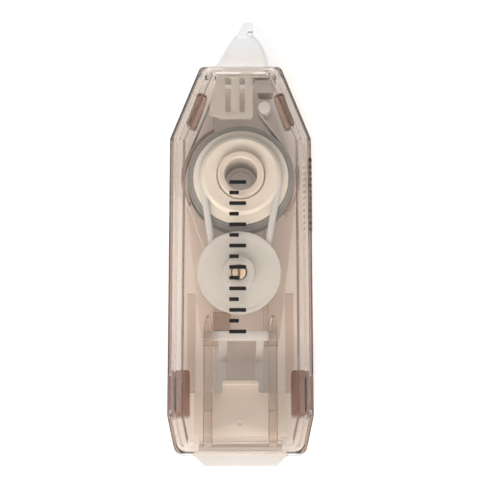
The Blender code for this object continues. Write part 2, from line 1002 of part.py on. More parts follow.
def make_take_up_reel(spool_material, disc_material, liner_material):
    bore = take_up_axle_radius + turn_gap
    groove = take_up_belt_radius - belt_radius - seat_gap
    cheek = take_up_belt_radius + belt_radius + seat_gap
    groove_low = pulley_low + reel_flange
    spool = turned(
        "take_up_spool",
        [
            (groove, disc_low - close_gap),
            (groove, groove_low),
            (cheek, groove_low),
            (cheek, pulley_low),
            (take_up_drum_radius, pulley_low),
            (take_up_drum_radius, reel_low + reel_flange),
            (take_up_back_radius, reel_low + reel_flange),
            (take_up_back_radius, reel_low),
            (bore, reel_low),
            (bore, disc_low - close_gap),
        ],
        take_up,
        spool_material,
    )
    disc = turned(
        "take_up_front_disc",
        [
            (take_up_collar_radius, disc_high + take_up_collar_height),
            (take_up_collar_radius, disc_face),
            (take_up_disc_radius - disc_rim_width, disc_face),
            (take_up_disc_radius, disc_high),
            (take_up_disc_radius, disc_low),
            (bore, disc_low),
            (bore, disc_high + take_up_collar_height),
        ],
        take_up,
        disc_material,
    )
    wrap = turned(
        "used_liner_wrap",
        [
            (liner_wrap_radius, tape_high),
            (liner_wrap_radius, tape_low),
            (take_up_drum_radius + close_gap, tape_low),
            (take_up_drum_radius + close_gap, tape_high),
        ],
        take_up,
        liner_material,
        fine_steps,
    )
    return spool, disc, wrap


def make_belt(material):
    curve = bpy.data.curves.new("drive_belt", "CURVE")
    curve.dimensions = "3D"
    curve.bevel_depth = belt_radius
    curve.bevel_resolution = 2
    points = belt_path()
    spline = curve.splines.new("POLY")
    spline.points.add(len(points) - 1)
    for target, point in zip(spline.points, points):
        target.co = (point.x, point.y, belt_z, 1)
    spline.use_cyclic_u = True
    curve.materials.append(material)
    belt = bpy.data.objects.new("drive_belt", curve)
    bpy.context.scene.collection.objects.link(belt)
    return belt


def make_tape_strips(tape_material, liner_material):
    tape = prism("tape_run", strip_outline(tape_path(), tape_thickness), tape_low, tape_high, tape_material)
    path = strip_outline(liner_path(), tape_thickness)
    liner = prism("liner_run", path, tape_low, tape_high, liner_material)
    return tape, liner


# Assembly

def axis_empty(name, location, parent=None):
    empty = bpy.data.objects.new(name, None)
    empty.empty_display_size = 5 * mm
    bpy.context.scene.collection.objects.link(empty)
    empty.location = location
    if parent:
        empty.parent = parent
    return empty


def hang_on(parent, *children):
    # Parents pieces that were built in world places without moving them.
    for child in children:
        child.parent = parent
        child.matrix_parent_inverse.translation = -parent_place(parent)


def parent_place(parent):
    place_of = Vector(parent.location)
    above = parent.parent
    while above:
        place_of += above.location
        above = above.parent
    return place_of


clear_case = make_material("smoky_clear_case", (0.56, 0.43, 0.37), 0.08, alpha=0.45)
clear_button = make_material("smoky_clear_button", (0.36, 0.22, 0.17), 0.12, alpha=0.8)
clear_frame = make_material("smoky_clear_frame", (0.5, 0.36, 0.3), 0.12, alpha=0.6)
white_gloss = make_material("white_nose", (0.86, 0.87, 0.88), 0.28)
white_plain = make_material("white_slide", (0.84, 0.83, 0.81), 0.35)
cream_button = make_material("cream_button", (0.85, 0.77, 0.69), 0.4)
cream_reel = make_material("cream_pulley", (0.78, 0.72, 0.62), 0.42)
milky_reel = make_material("milky_reel", (0.74, 0.69, 0.63), 0.35)
tape_white = make_material("tape_white", (0.72, 0.71, 0.69), 0.7)
liner_paper = make_material("liner_paper", (0.8, 0.78, 0.74), 0.6)
belt_rubber = make_material("belt_rubber", (0.72, 0.71, 0.69), 0.5)
felt_grey = make_material("clutch_felt", (0.35, 0.33, 0.31), 0.9)

back_shell = make_back_shell(clear_case)
front_shell = make_front_shell(clear_case)

slide_axis = axis_empty("carriage_axis", (0, 0, plate_low))
supply_axis = axis_empty("supply_axis", (supply.x, supply.y, 0), slide_axis)
take_up_axis = axis_empty("take_up_axis", (take_up.x, take_up.y, 0), slide_axis)

for release_side, release_direction in (("left", -1), ("right", 1)):
    make_release_button(release_side, release_direction, clear_button)

frame_piece = make_carriage_frame(clear_frame)
carriage_pieces = [
    frame_piece,
    make_guide_post(white_plain),
    make_crossbar(white_plain),
    make_nose(white_gloss),
    make_push_button(cream_button),
    make_belt(belt_rubber),
    *make_tape_strips(tape_white, liner_paper),
]
hang_on(slide_axis, *carriage_pieces)
hang_on(supply_axis, *make_supply_reel(milky_reel, tape_white, felt_grey, cream_reel))
hang_on(take_up_axis, *make_take_up_reel(milky_reel, milky_reel, liner_paper))
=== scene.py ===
import bpy, bmesh, json, math
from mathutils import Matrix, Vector

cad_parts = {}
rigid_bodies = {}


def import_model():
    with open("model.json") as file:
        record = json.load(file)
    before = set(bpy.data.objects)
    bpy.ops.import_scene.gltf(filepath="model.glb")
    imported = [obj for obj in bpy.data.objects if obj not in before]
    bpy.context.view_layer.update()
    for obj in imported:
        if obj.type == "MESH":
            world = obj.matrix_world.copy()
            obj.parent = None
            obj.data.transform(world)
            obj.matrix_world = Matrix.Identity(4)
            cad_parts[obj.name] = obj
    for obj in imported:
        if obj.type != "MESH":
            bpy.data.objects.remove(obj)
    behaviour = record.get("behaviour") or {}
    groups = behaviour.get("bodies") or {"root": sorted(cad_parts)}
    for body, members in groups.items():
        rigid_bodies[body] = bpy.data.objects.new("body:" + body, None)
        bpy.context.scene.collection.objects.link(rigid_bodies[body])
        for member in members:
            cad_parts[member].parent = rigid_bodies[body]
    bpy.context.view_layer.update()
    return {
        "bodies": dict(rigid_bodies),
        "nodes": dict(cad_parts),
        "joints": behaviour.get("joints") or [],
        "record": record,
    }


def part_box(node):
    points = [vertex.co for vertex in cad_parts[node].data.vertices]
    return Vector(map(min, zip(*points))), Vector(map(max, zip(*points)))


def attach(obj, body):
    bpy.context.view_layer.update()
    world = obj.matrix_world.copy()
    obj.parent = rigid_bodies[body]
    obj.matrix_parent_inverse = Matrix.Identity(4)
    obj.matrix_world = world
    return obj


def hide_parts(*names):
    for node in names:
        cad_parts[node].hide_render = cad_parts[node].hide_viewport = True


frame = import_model()
print("frame loaded:", len(frame["nodes"]), "nodes")

mm = 0.001
scene = bpy.context.scene


def centreOf(node):
    low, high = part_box(node)
    return Vector(((low.x + high.x) / 2, (low.y + high.y) / 2))


def radiusOf(node):
    low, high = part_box(node)
    return (high.x - low.x) / 2


# centres of both reels and the heights of the main layers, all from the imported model
pulleyLow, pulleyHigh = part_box("drive_pulley")
discLow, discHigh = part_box("take_up_front_disc")
supply, takeUp = centreOf("drive_pulley"), centreOf("take_up_front_disc")
caseLow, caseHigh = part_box("back_shell")[0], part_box("front_shell")[1]
seamLow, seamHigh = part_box("back_shell")[1].z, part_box("front_shell")[0].z
tapeLow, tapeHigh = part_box("tape_roll")[0].z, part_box("tape_roll")[1].z


def insetOutline(points, distance):
    # every side of a counter-clockwise outline moves inwards
    moved = []
    for index in range(len(points)):
        before, here = Vector(points[index - 1]), Vector(points[index])
        after = Vector(points[(index + 1) % len(points)])
        first, second = (here - before).normalized(), (after - here).normalized()
        firstNormal, secondNormal = Vector((-first.y, first.x)), Vector((-second.y, second.x))
        share = 1 + firstNormal.dot(secondNormal)
        moved.append(here + (firstNormal + secondNormal) * (distance / share))
    return moved


def fillet(before, here, after, radius, steps):
    here = Vector(here)
    toBefore = (Vector(before) - here).normalized()
    toAfter = (Vector(after) - here).normalized()
    half = toBefore.angle(toAfter) / 2
    middle = here + (toBefore + toAfter).normalized() * (radius / math.sin(half))
    reach = radius / math.tan(half)
    start = here + toBefore * reach - middle
    turn = -start.angle_signed(here + toAfter * reach - middle)
    points = []
    for step in range(steps + 1):
        angle = turn * step / steps
        cosine, sine = math.cos(angle), math.sin(angle)
        points.append(middle + Vector((start.x * cosine - start.y * sine,
                                       start.x * sine + start.y * cosine)))
    return points


def roundOutline(points, radius, steps=6):
    rounded = []
    for index in range(len(points)):
        after = points[(index + 1) % len(points)]
        rounded += fillet(points[index - 1], points[index], after, radius, steps)
    return rounded


def roundPath(points, radius, steps=4):
    # an open path: both ends stay where they are
    rounded = [Vector(points[0])]
    for before, here, after in zip(points, points[1:], points[2:]):
        rounded += fillet(before, here, after, radius, steps)
    return rounded + [Vector(points[-1])]


def rectangle(left, right, bottom, top):
    return [(left, bottom), (right, bottom), (right, top), (left, top)]


def bandAt(middle, width):
    # the two ends of a width about its middle
    return middle - width / 2, middle + width / 2


def arcPoints(centre, radius, start, end, steps):
    points = []
    for step in range(steps + 1):
        angle = start + (end - start) * step / steps
        points.append(Vector((centre[0] + math.cos(angle) * radius, centre[1] + math.sin(angle) * radius)))
    return points


def circlePoints(centre, radius, steps=64):
    return arcPoints(centre, radius, 0, math.tau * (1 - 1 / steps), steps - 1)


def stripOutline(path, thickness):
    left, right = [], []
    for index, here in enumerate(path):
        before, after = path[max(index - 1, 0)], path[min(index + 1, len(path) - 1)]
        along = (Vector(after) - Vector(before)).normalized()
        across = Vector((-along.y, along.x)) * (thickness / 2)
        left.append(Vector(here) + across)
        right.append(Vector(here) - across)
    return right + left[::-1]


def angleTo(origin, target):
    return math.atan2(target[1] - origin[1], target[0] - origin[0])


def newObject(name, mesh, smoothAngle=35):
    mesh.shade_smooth()
    mesh.set_sharp_from_angle(angle=math.radians(smoothAngle))
    made = bpy.data.objects.new(name, mesh)
    scene.collection.objects.link(made)
    return made


def meshFrom(name, shape):
    mesh = bpy.data.meshes.new(name)
    shape.to_mesh(mesh)
    shape.free()
    return mesh


def skin(name, rings, closed, smoothAngle=35):
    # faces join each ring to the next; closed rings meet their start again, open ones get flat ends
    shape = bmesh.new()
    rows = [[shape.verts.new(point) for point in ring] for ring in rings]
    count = len(rows[0])
    for lower, upper in zip(rows, rows[1:] + rows[:1] if closed else rows[1:]):
        for index in range(count):
            other = (index + 1) % count
            shape.faces.new((lower[index], lower[other], upper[other], upper[index]))
    if not closed:
        shape.faces.new(rows[0][::-1])
        shape.faces.new(rows[-1])
    bmesh.ops.recalc_face_normals(shape, faces=shape.faces)
    return newObject(name, meshFrom(name, shape), smoothAngle)


def loft(name, rings, smoothAngle=35):
    return skin(name, rings, False, smoothAngle)


def prism(name, outline, low, high):
    return loft(name, [[(x, y, z) for x, y in outline] for z in (low, high)])


def barAlongY(name, profile, start, end):
    return loft(name, [[(x, y, z) for x, z in profile] for y in (start, end)])


def turned(name, profile, centre, steps=144):
    # closed profile of (radius, height), turned about an upright axis
    rings = []
    for step in range(steps):
        angle = math.tau * step / steps
        cosine, sine = math.cos(angle), math.sin(angle)
        rings.append([(centre[0] + r * cosine, centre[1] + r * sine, z) for r, z in profile])
    return skin(name, rings, True)


def combine(target, operand, operation):
    boolean = target.modifiers.new(operand.name, "BOOLEAN")
    boolean.operation = operation
    boolean.solver = "EXACT"
    boolean.object = operand


def softenEdges(piece, width, segments=3, angle=30):
    bevel = piece.modifiers.new("soft edges", "BEVEL")
    bevel.width = width
    bevel.segments = segments
    bevel.limit_method = "ANGLE"
    bevel.angle_limit = math.radians(angle)
    bevel.use_clamp_overlap = True
    bevel.harden_normals = False


def settle(piece, helpers=(), smoothAngle=35):
    # modifiers become the mesh, and helpers go
    graph = bpy.context.evaluated_depsgraph_get()
    mesh = bpy.data.meshes.new_from_object(piece.evaluated_get(graph))
    piece.modifiers.clear()
    piece.data = mesh
    for helper in helpers:
        bpy.data.objects.remove(helper, do_unlink=True)
    mesh.shade_smooth()
    mesh.set_sharp_from_angle(angle=math.radians(smoothAngle))
    return piece


def build(piece, added=(), taken=(), soften=0, segments=2, smoothAngle=35):
    for addition in added:
        combine(piece, addition, "UNION")
    for cutter in taken:
        combine(piece, cutter, "DIFFERENCE")
    settle(piece, [*added, *taken], smoothAngle)
    if soften:
        softenEdges(piece, soften, segments)
        settle(piece, (), smoothAngle)
    return piece


def fit(piece, material, body, *nodes):
    # gives a finished piece its material, its body and the CAD nodes that it stands for
    piece.data.materials.clear()
    piece.data.materials.append(material)
    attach(piece, body)
    if nodes:
        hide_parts(*nodes)
    return piece


def startMaterial(name):
    material = bpy.data.materials.new(name)
    material.use_nodes = True
    nodes, links = material.node_tree.nodes, material.node_tree.links
    shader = nodes["Principled BSDF"]
    where = nodes.new("ShaderNodeTexCoord")
    return material, nodes, links, shader, where


def addNoise(nodes, links, where, scale, detail=3.0, roughness=0.5):
    noise = nodes.new("ShaderNodeTexNoise")
    noise.inputs["Scale"].default_value = scale
    noise.inputs["Detail"].default_value = detail
    noise.inputs["Roughness"].default_value = roughness
    links.new(where.outputs["Object"], noise.inputs["Vector"])
    return noise


def addRange(nodes, links, source, low, high, fromLow=0.3, fromHigh=0.7):
    ranged = nodes.new("ShaderNodeMapRange")
    ranged.inputs["From Min"].default_value = fromLow
    ranged.inputs["From Max"].default_value = fromHigh
    ranged.inputs["To Min"].default_value = low
    ranged.inputs["To Max"].default_value = high
    links.new(source, ranged.inputs["Value"])
    return ranged


def addBump(nodes, links, shader, height, strength, distance):
    bump = nodes.new("ShaderNodeBump")
    bump.inputs["Strength"].default_value = strength
    bump.inputs["Distance"].default_value = distance
    links.new(height, bump.inputs["Height"])
    links.new(bump.outputs["Normal"], shader.inputs["Normal"])


def mixColours(nodes, links, factor, first, second):
    mix = nodes.new("ShaderNodeMix")
    mix.data_type = "RGBA"
    mix.inputs["A"].default_value = (*first, 1)
    mix.inputs["B"].default_value = (*second, 1)
    links.new(factor, mix.inputs["Factor"])
    return mix


def clearPlastic(name, look):
    # polished clear plastic: the tint sits in its depth, so thick lumps go darker
    look = {**polished, **look}
    material, nodes, links, shader, where = startMaterial(name)
    shader.inputs["Base Color"].default_value = (*look["surface"], 1)
    shader.inputs["IOR"].default_value = look["ior"]
    shader.inputs["Transmission Weight"].default_value = 1.0
    haze = addNoise(nodes, links, where, look["hazeScale"], 4)
    roughness = addRange(nodes, links, haze.outputs["Fac"], *look["rough"])
    links.new(roughness.outputs["Result"], shader.inputs["Roughness"])
    flow = addNoise(nodes, links, where, look["flowScale"], 2)
    addBump(nodes, links, shader, flow.outputs["Fac"], look["wave"], look["waveDepth"])
    path = nodes.new("ShaderNodeLightPath")
    clear = nodes.new("ShaderNodeBsdfTransparent")
    clear.inputs["Color"].default_value = (*look["shadow"], 1)
    mix = nodes.new("ShaderNodeMixShader")
    links.new(path.outputs["Is Shadow Ray"], mix.inputs["Fac"])
    links.new(shader.outputs["BSDF"], mix.inputs[1])
    links.new(clear.outputs["BSDF"], mix.inputs[2])
    output = nodes["Material Output"]
    links.new(mix.outputs["Shader"], output.inputs["Surface"])
    depth = nodes.new("ShaderNodeVolumeAbsorption")
    depth.inputs["Color"].default_value = (*look["tint"], 1)
    depth.inputs["Density"].default_value = look["density"]
    links.new(depth.outputs["Volume"], output.inputs["Volume"])
    return material


def mouldedPlastic(name, look):
    # moulded plastic: slight clouding in the colour and a fine grain; a lower alpha lets light through
    look = {**moulded, **look}
    material, nodes, links, shader, where = startMaterial(name)
    cloud = addNoise(nodes, links, where, look["cloudScale"], 3)
    colour = mixColours(nodes, links, cloud.outputs["Fac"], look["dark"], look["light"])
    links.new(colour.outputs["Result"], shader.inputs["Base Color"])
    patch = addNoise(nodes, links, where, look["patchScale"], 4)
    roughness = addRange(nodes, links, patch.outputs["Fac"], *look["rough"])
    links.new(roughness.outputs["Result"], shader.inputs["Roughness"])
    grain = addNoise(nodes, links, where, look["grainScale"], 5, 0.6)
    addBump(nodes, links, shader, grain.outputs["Fac"], look["grain"], look["grainDepth"])
    shader.inputs["Subsurface Weight"].default_value = look["glow"]
    shader.inputs["Subsurface Radius"].default_value = look["glowReach"]
    shader.inputs["Subsurface Scale"].default_value = look["glowDepth"]
    shader.inputs["Coat Weight"].default_value = look["coat"]
    shader.inputs["Coat Roughness"].default_value = look["coatRough"]
    shader.inputs["Alpha"].default_value = look["alpha"]
    return material


def woundTape(name, centre, look):
    # thin layers wound round a spool, seen from their edges
    material, nodes, links, shader, where = startMaterial(name)
    offset = nodes.new("ShaderNodeVectorMath")
    offset.operation = "SUBTRACT"
    offset.inputs[1].default_value = (centre[0], centre[1], 0)
    links.new(where.outputs["Object"], offset.inputs[0])
    flat = nodes.new("ShaderNodeVectorMath")
    flat.operation = "MULTIPLY"
    flat.inputs[1].default_value = (1, 1, 0)
    links.new(offset.outputs["Vector"], flat.inputs[0])
    radius = nodes.new("ShaderNodeVectorMath")
    radius.operation = "LENGTH"
    links.new(flat.outputs["Vector"], radius.inputs[0])
    layers = nodes.new("ShaderNodeTexNoise")
    layers.noise_dimensions = "1D"
    layers.inputs["Scale"].default_value = look["layerScale"]
    layers.inputs["Detail"].default_value = 3
    links.new(radius.outputs["Value"], layers.inputs["W"])
    factor = addRange(nodes, links, layers.outputs["Fac"], 0, 1)
    colour = mixColours(nodes, links, factor.outputs["Result"], look["dark"], look["light"])
    links.new(colour.outputs["Result"], shader.inputs["Base Color"])
    shader.inputs["Roughness"].default_value = look["roughness"]
    addBump(nodes, links, shader, layers.outputs["Fac"], look["layerBump"], look["layerDepth"])
    return material


# what each kind of plastic starts from; a finish names only what differs
polished = {"ior": 1.46, "hazeScale": 260, "flowScale": 55, "waveDepth": 0.4 * mm}
moulded = {"rough": (0.28, 0.4), "patchScale": 420, "grain": 0.12, "grainScale": 2600,
           "grainDepth": 0.05 * mm, "glow": 0.0, "glowReach": (1.0, 0.75, 0.55), "glowDepth": 1.2 * mm,
           "coat": 0.1, "coatRough": 0.12, "alpha": 1.0}
wound = {"layerScale": 5200, "layerBump": 0.35, "layerDepth": 0.12 * mm}

finish = {
    "case": {"surface": (1, 1, 1), "rough": (0.0, 0.03), "wave": 0.04, "shadow": (0.93, 0.92, 0.91),
             "tint": (0.57, 0.41, 0.27), "density": 235},
    "release": {"surface": (1, 0.97, 0.95), "rough": (0.03, 0.1), "wave": 0.08, "shadow": (0.8, 0.74, 0.7),
                "tint": (0.60, 0.40, 0.30), "density": 330},
    "carriage": {"surface": (1, 0.98, 0.96), "rough": (0.05, 0.14), "wave": 0.06, "shadow": (0.92, 0.9, 0.88),
                 "tint": (0.62, 0.38, 0.22), "density": 125},
    "nose": {"dark": (0.79, 0.795, 0.80), "light": (0.85, 0.855, 0.86), "cloudScale": 60,
             "rough": (0.24, 0.36), "glow": 0.12, "coat": 0.15},
    # painted shade: the tongue is the nose's white plastic, made darker for the shade it sits in inside the
    # case
    "tongue": {"dark": (0.59, 0.565, 0.515), "light": (0.70, 0.675, 0.625), "cloudScale": 60, "alpha": 0.82},
    # painted shade: the collar is the nose's white plastic, darkened for the shade it sits in inside the case
    "collar": {"dark": (0.40, 0.385, 0.36), "light": (0.52, 0.50, 0.47), "cloudScale": 90, "alpha": 0.72},
    # painted shade: the button's own cream, darkened where the plate sits in shade inside the case
    "buttonInsideShade": {"dark": (0.56, 0.50, 0.44), "light": (0.64, 0.58, 0.52), "cloudScale": 70,
                     "rough": (0.35, 0.5), "grain": 0.2, "grainScale": 2200, "glow": 0.12, "coat": 0.05},
    "pin": {"dark": (0.90, 0.74, 0.55), "light": (0.96, 0.82, 0.66), "cloudScale": 200,
            "rough": (0.3, 0.45), "grain": 0.1, "glow": 0.3},
    "white": {"dark": (0.62, 0.61, 0.60), "light": (0.70, 0.69, 0.68), "cloudScale": 90,
              "rough": (0.3, 0.45), "grain": 0.15, "glow": 0.15},
    "button": {"dark": (0.67, 0.61, 0.56), "light": (0.76, 0.70, 0.65), "cloudScale": 70,
               "rough": (0.32, 0.48), "grain": 0.2, "grainScale": 2200, "glow": 0.15, "coat": 0.05},
    "pulley": {"dark": (0.80, 0.76, 0.69), "light": (0.88, 0.85, 0.78), "cloudScale": 110,
               "rough": (0.35, 0.5), "grain": 0.18, "grainScale": 2400, "glow": 0.2, "coat": 0.05},
    "milky": {"dark": (0.72, 0.66, 0.59), "light": (0.80, 0.75, 0.69), "cloudScale": 100,
              "rough": (0.28, 0.42), "grainScale": 2400, "glow": 0.3},
    "milkyDisc": {"dark": (0.82, 0.83, 0.81), "light": (0.88, 0.89, 0.87), "cloudScale": 100,
                  "rough": (0.25, 0.4), "grainScale": 2400, "alpha": 0.52},
    "belt": {"dark": (0.64, 0.66, 0.67), "light": (0.74, 0.76, 0.77), "cloudScale": 240,
             "rough": (0.35, 0.5), "grain": 0.2, "grainScale": 3000, "glow": 0.3},
    "felt": {"dark": (0.25, 0.23, 0.21), "light": (0.42, 0.4, 0.37), "cloudScale": 900,
             "rough": (0.85, 0.98), "grain": 0.8, "grainScale": 5000, "coat": 0.0},
    # painted shade: the dark edge lines stand for shade left by light bending at the clear edges
    "edge": {"dark": (0.24, 0.15, 0.11), "light": (0.34, 0.22, 0.17), "cloudScale": 120,
             "rough": (0.3, 0.5), "grain": 0.1, "coat": 0.0, "alpha": 0.5},
    "ink": {"dark": (0.004, 0.004, 0.004), "light": (0.008, 0.007, 0.007), "cloudScale": 300,
            "rough": (0.85, 0.95), "grain": 0.1, "grainScale": 3000, "coat": 0.0},
    "strip": {"dark": (0.78, 0.77, 0.75), "light": (0.86, 0.85, 0.84), "cloudScale": 300,
              "rough": (0.4, 0.6), "grain": 0.1, "grainScale": 3000, "coat": 0.0},
    "roll": {**wound, "dark": (0.20, 0.20, 0.195), "light": (0.42, 0.42, 0.41), "roughness": 0.55},
    "wrap": {**wound, "dark": (0.55, 0.52, 0.48), "light": (0.76, 0.74, 0.7), "roughness": 0.5},
}

caseClear = clearPlastic("smoky clear case", finish["case"])
releaseClear = clearPlastic("deep smoky clear", finish["release"])
carriageClear = clearPlastic("smoky clear carriage", finish["carriage"])
noseWhite = mouldedPlastic("glossy white nose", finish["nose"])
partWhite = mouldedPlastic("plain white plastic", finish["white"])
buttonCream = mouldedPlastic("pinkish cream button", finish["button"])
pulleyCream = mouldedPlastic("cream pulley plastic", finish["pulley"])
milkyPlastic = mouldedPlastic("milky spool plastic", finish["milky"])
milkyDisc = mouldedPlastic("see-through milky disc", finish["milkyDisc"])
beltWhite = mouldedPlastic("translucent white belt", finish["belt"])
feltGrey = mouldedPlastic("grey felt", finish["felt"])
tongueWhite = mouldedPlastic("shaded white tongue", finish["tongue"])
collarShadedWhite = mouldedPlastic("white collar, painted shade", finish["collar"])
buttonInsideShade = mouldedPlastic("button cream, painted shade inside", finish["buttonInsideShade"])
pinTan = mouldedPlastic("tan split pin", finish["pin"])
inkBlack = mouldedPlastic("black print", finish["ink"])
# painted shade: dark strips where light bending at the clear case's edges leaves dark lines
edgeShadeBrown = mouldedPlastic("painted edge shade", finish["edge"])
stripWhite = mouldedPlastic("white tape strip", finish["strip"])
rollLayers = woundTape("wound tape layers", supply, finish["roll"])
wrapLayers = woundTape("wound liner layers", takeUp, finish["wrap"])
print("finishes ready")


case = {
    "topHalf": 9.0 * mm,
    "shoulderY": 22.7 * mm,
    "shoulderHalf": 15.7 * mm,
    "hipY": -39.0 * mm,
    "hipHalf": -caseLow.x,
    "bottomHalf": 14.2 * mm,
    "wall": 1.3 * mm,
    "cornerRadius": 1.5 * mm,
    "edgeInset": 1.5 * mm,
    "edgeHeight": 3.0 * mm,
    "faceInset": 3.2 * mm,
    "faceHeight": 1.0 * mm,
    "gap": 0.3 * mm,                # round the nose and the release pads
    "buttonGap": 0.15 * mm,         # round the push button
    "buttonHoleRound": 0.35 * mm,
    "endShare": 0.35,               # how much of a side bevel the ends have
    "outerRound": 0.5 * mm,
    "innerRound": 0.12 * mm,
    "innerLower": 0.6 * mm,         # the inner bevel starts this much lower than the outer one
    "flatFace": 6.0 * mm ** 2,      # faces larger than this are shaded flat
}
depth = caseHigh.z - caseLow.z
floorZ, roofZ = case["wall"], depth - case["wall"]


def caseCorners(inset=0):
    # the bevels at both ends are shallower than the ones along the sides
    more = case["endShare"] * inset
    topSlope = (case["shoulderHalf"] - case["topHalf"]) / (caseHigh.y - case["shoulderY"])
    lowSlope = (case["hipHalf"] - case["bottomHalf"]) / (case["hipY"] - caseLow.y)
    right = [(case["bottomHalf"] - more * lowSlope, caseLow.y - more), (case["hipHalf"], case["hipY"]),
             (case["shoulderHalf"], case["shoulderY"]),
             (case["topHalf"] - more * topSlope, caseHigh.y + more)]
    return right + [(-x, y) for x, y in right[::-1]]


def shrunkProfile(distance, radius, lower=0):
    # up the left side of the case, as (distance in from the outline, height), with its corners rounded
    low = [(case["faceInset"], 0), (case["edgeInset"], case["faceHeight"]), (0, case["edgeHeight"] - lower)]
    points = low + [(inset, depth - height) for inset, height in low[::-1]]
    far = case["topHalf"]
    closed = insetOutline((points + [(far, depth), (far, 0)])[::-1], distance)[::-1]
    ends = [closed[7]] + closed[:6] + [closed[6]]
    if radius:
        return roundPath(ends, radius)[1:-1]
    return ends[1:-1]


def caseRings(profile):
    rings = []
    for inset, height in profile:
        outline = roundOutline(insetOutline(caseCorners(inset), inset), case["cornerRadius"], 7)
        rings.append([(x, y, height) for x, y in outline])
    return rings


def clipped(profile, low, high):
    kept = [Vector(point) for point in profile if low < point[1] < high]
    return ([Vector((kept[0].x, low))] if low > profile[0][1] else []) + kept + (
        [Vector((kept[-1].x, high))] if high < profile[-1][1] else [])


def sideHalf(y):
    share = (y - case["hipY"]) / (case["shoulderY"] - case["hipY"])
    return case["hipHalf"] + (case["shoulderHalf"] - case["hipHalf"]) * share


noseBox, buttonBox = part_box("nose_tip"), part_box("push_button")
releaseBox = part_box("release_button_right")
noseShape = {"left": -5.5 * mm, "right": 6.4 * mm, "corner": 1.4 * mm}
release = {"padLength": 7.5 * mm, "padDepth": 6.4 * mm, "padLift": 0.2 * mm, "behindWall": 0.08 * mm,
           "flangeRound": 0.7 * mm, "edge": 0.18 * mm}
releaseY = (releaseBox[0].y + releaseBox[1].y) / 2
releaseZ = depth / 2
noseLowZ, noseHighZ = noseBox[0].z, tapeLow + tapeHigh - noseBox[0].z


def caseOpenings():
    gap, wall = case["gap"], case["wall"]
    noseHole = roundOutline(rectangle(noseShape["left"] - gap, noseShape["right"] + gap,
                                      noseLowZ - gap, noseHighZ + gap), noseShape["corner"] + gap)
    close = case["buttonGap"]
    buttonHole = roundOutline(rectangle(buttonBox[0].x - close, buttonBox[1].x + close,
                                        buttonBox[0].z - close, buttonBox[1].z + close),
                              case["buttonHoleRound"], 3)
    cutters = [barAlongY("noseHole", noseHole, caseHigh.y - 2 * wall, caseHigh.y + wall),
               barAlongY("buttonHole", buttonHole, caseLow.y - wall, caseLow.y + 2 * wall)]
    for direction in (-1, 1):
        across = sorted((direction * (case["hipHalf"] - 3 * wall), direction * (case["hipHalf"] + wall)))
        outline = rectangle(*across, releaseY - release["padLength"] / 2 - gap,
                            releaseY + release["padLength"] / 2 + gap)
        cutters.append(prism("window", outline, releaseZ - release["padDepth"] / 2 - gap,
                             releaseZ + release["padDepth"] / 2 + gap))
    return cutters


# the rails and side ribs hang under the front face, the runners stand on the back, the grip is outside
ribs = {
    "railX": 7.05 * mm, "railWidth": 1.8 * mm, "railTop": -17.6 * mm, "railHeight": 1.6 * mm,
    "ramp": 3.0 * mm, "railSoft": 0.45 * mm, "corner": 0.2 * mm,
    "sideX": 9.75 * mm, "sideWidth": 1.8 * mm, "sideTop": -12.5 * mm, "sideBottom": -34.0 * mm,
    "sideHeight": 2.0 * mm,
    "runnerX": 5.5 * mm, "runnerWidth": 1.0 * mm, "runnerHeight": 1.0 * mm,
    "gripCount": 12, "gripPitch": 1.4 * mm, "gripWidth": 0.8 * mm, "gripHeight": 0.12 * mm,
    "gripFirst": 2.2 * mm, "gripSoft": 0.16 * mm,
}


def gripRibs(low, high):
    outer = clipped(shrunkProfile(-ribs["gripHeight"], case["outerRound"]), low, high)
    inner = clipped(shrunkProfile(case["wall"] / 2, 0), low, high)
    bars = []
    for index in range(ribs["gripCount"]):
        middle = ribs["gripFirst"] + index * ribs["gripPitch"]
        half = sideHalf(middle)
        profile = [(half - inset, height) for inset, height in outer + inner[::-1]]
        bar = barAlongY("grip", profile, *bandAt(middle, ribs["gripWidth"]))
        softenEdges(bar, ribs["gripSoft"], 2)
        bars.append(settle(bar))
    return bars


def makeRunners(sink):
    made = []
    for direction in (-1, 1):
        outline = rectangle(*bandAt(direction * ribs["runnerX"], ribs["runnerWidth"]),
                            caseLow.y + 2 * case["wall"], caseHigh.y - 4 * case["wall"])
        made.append(prism("runner", outline, floorZ - sink, floorZ + ribs["runnerHeight"]))
    return made


def makeRails(sink):
    made = []
    for direction in (-1, 1):
        middle, half = direction * ribs["railX"], ribs["railWidth"] / 2
        bottom, top = caseLow.y + 1.2 * case["wall"], ribs["railTop"]
        outline = [(middle - half, bottom), (middle + half, bottom), (middle + half, top - ribs["ramp"]),
                   (middle + half / 4, top), (middle - half / 4, top), (middle - half, top - ribs["ramp"])]
        rail = prism("rail", roundOutline(outline, ribs["corner"], 3), roofZ - ribs["railHeight"],
                     roofZ + case["wall"] / 2)
        softenEdges(rail, ribs["railSoft"], 4, 60)
        made.append(settle(rail))
        across = sorted((direction * ribs["sideX"], direction * (ribs["sideX"] + ribs["sideWidth"])))
        outline = rectangle(*across, ribs["sideBottom"], ribs["sideTop"])
        made.append(prism("sideRib", roundOutline(outline, ribs["corner"], 3), roofZ - ribs["sideHeight"],
                          roofZ + sink))
    return made


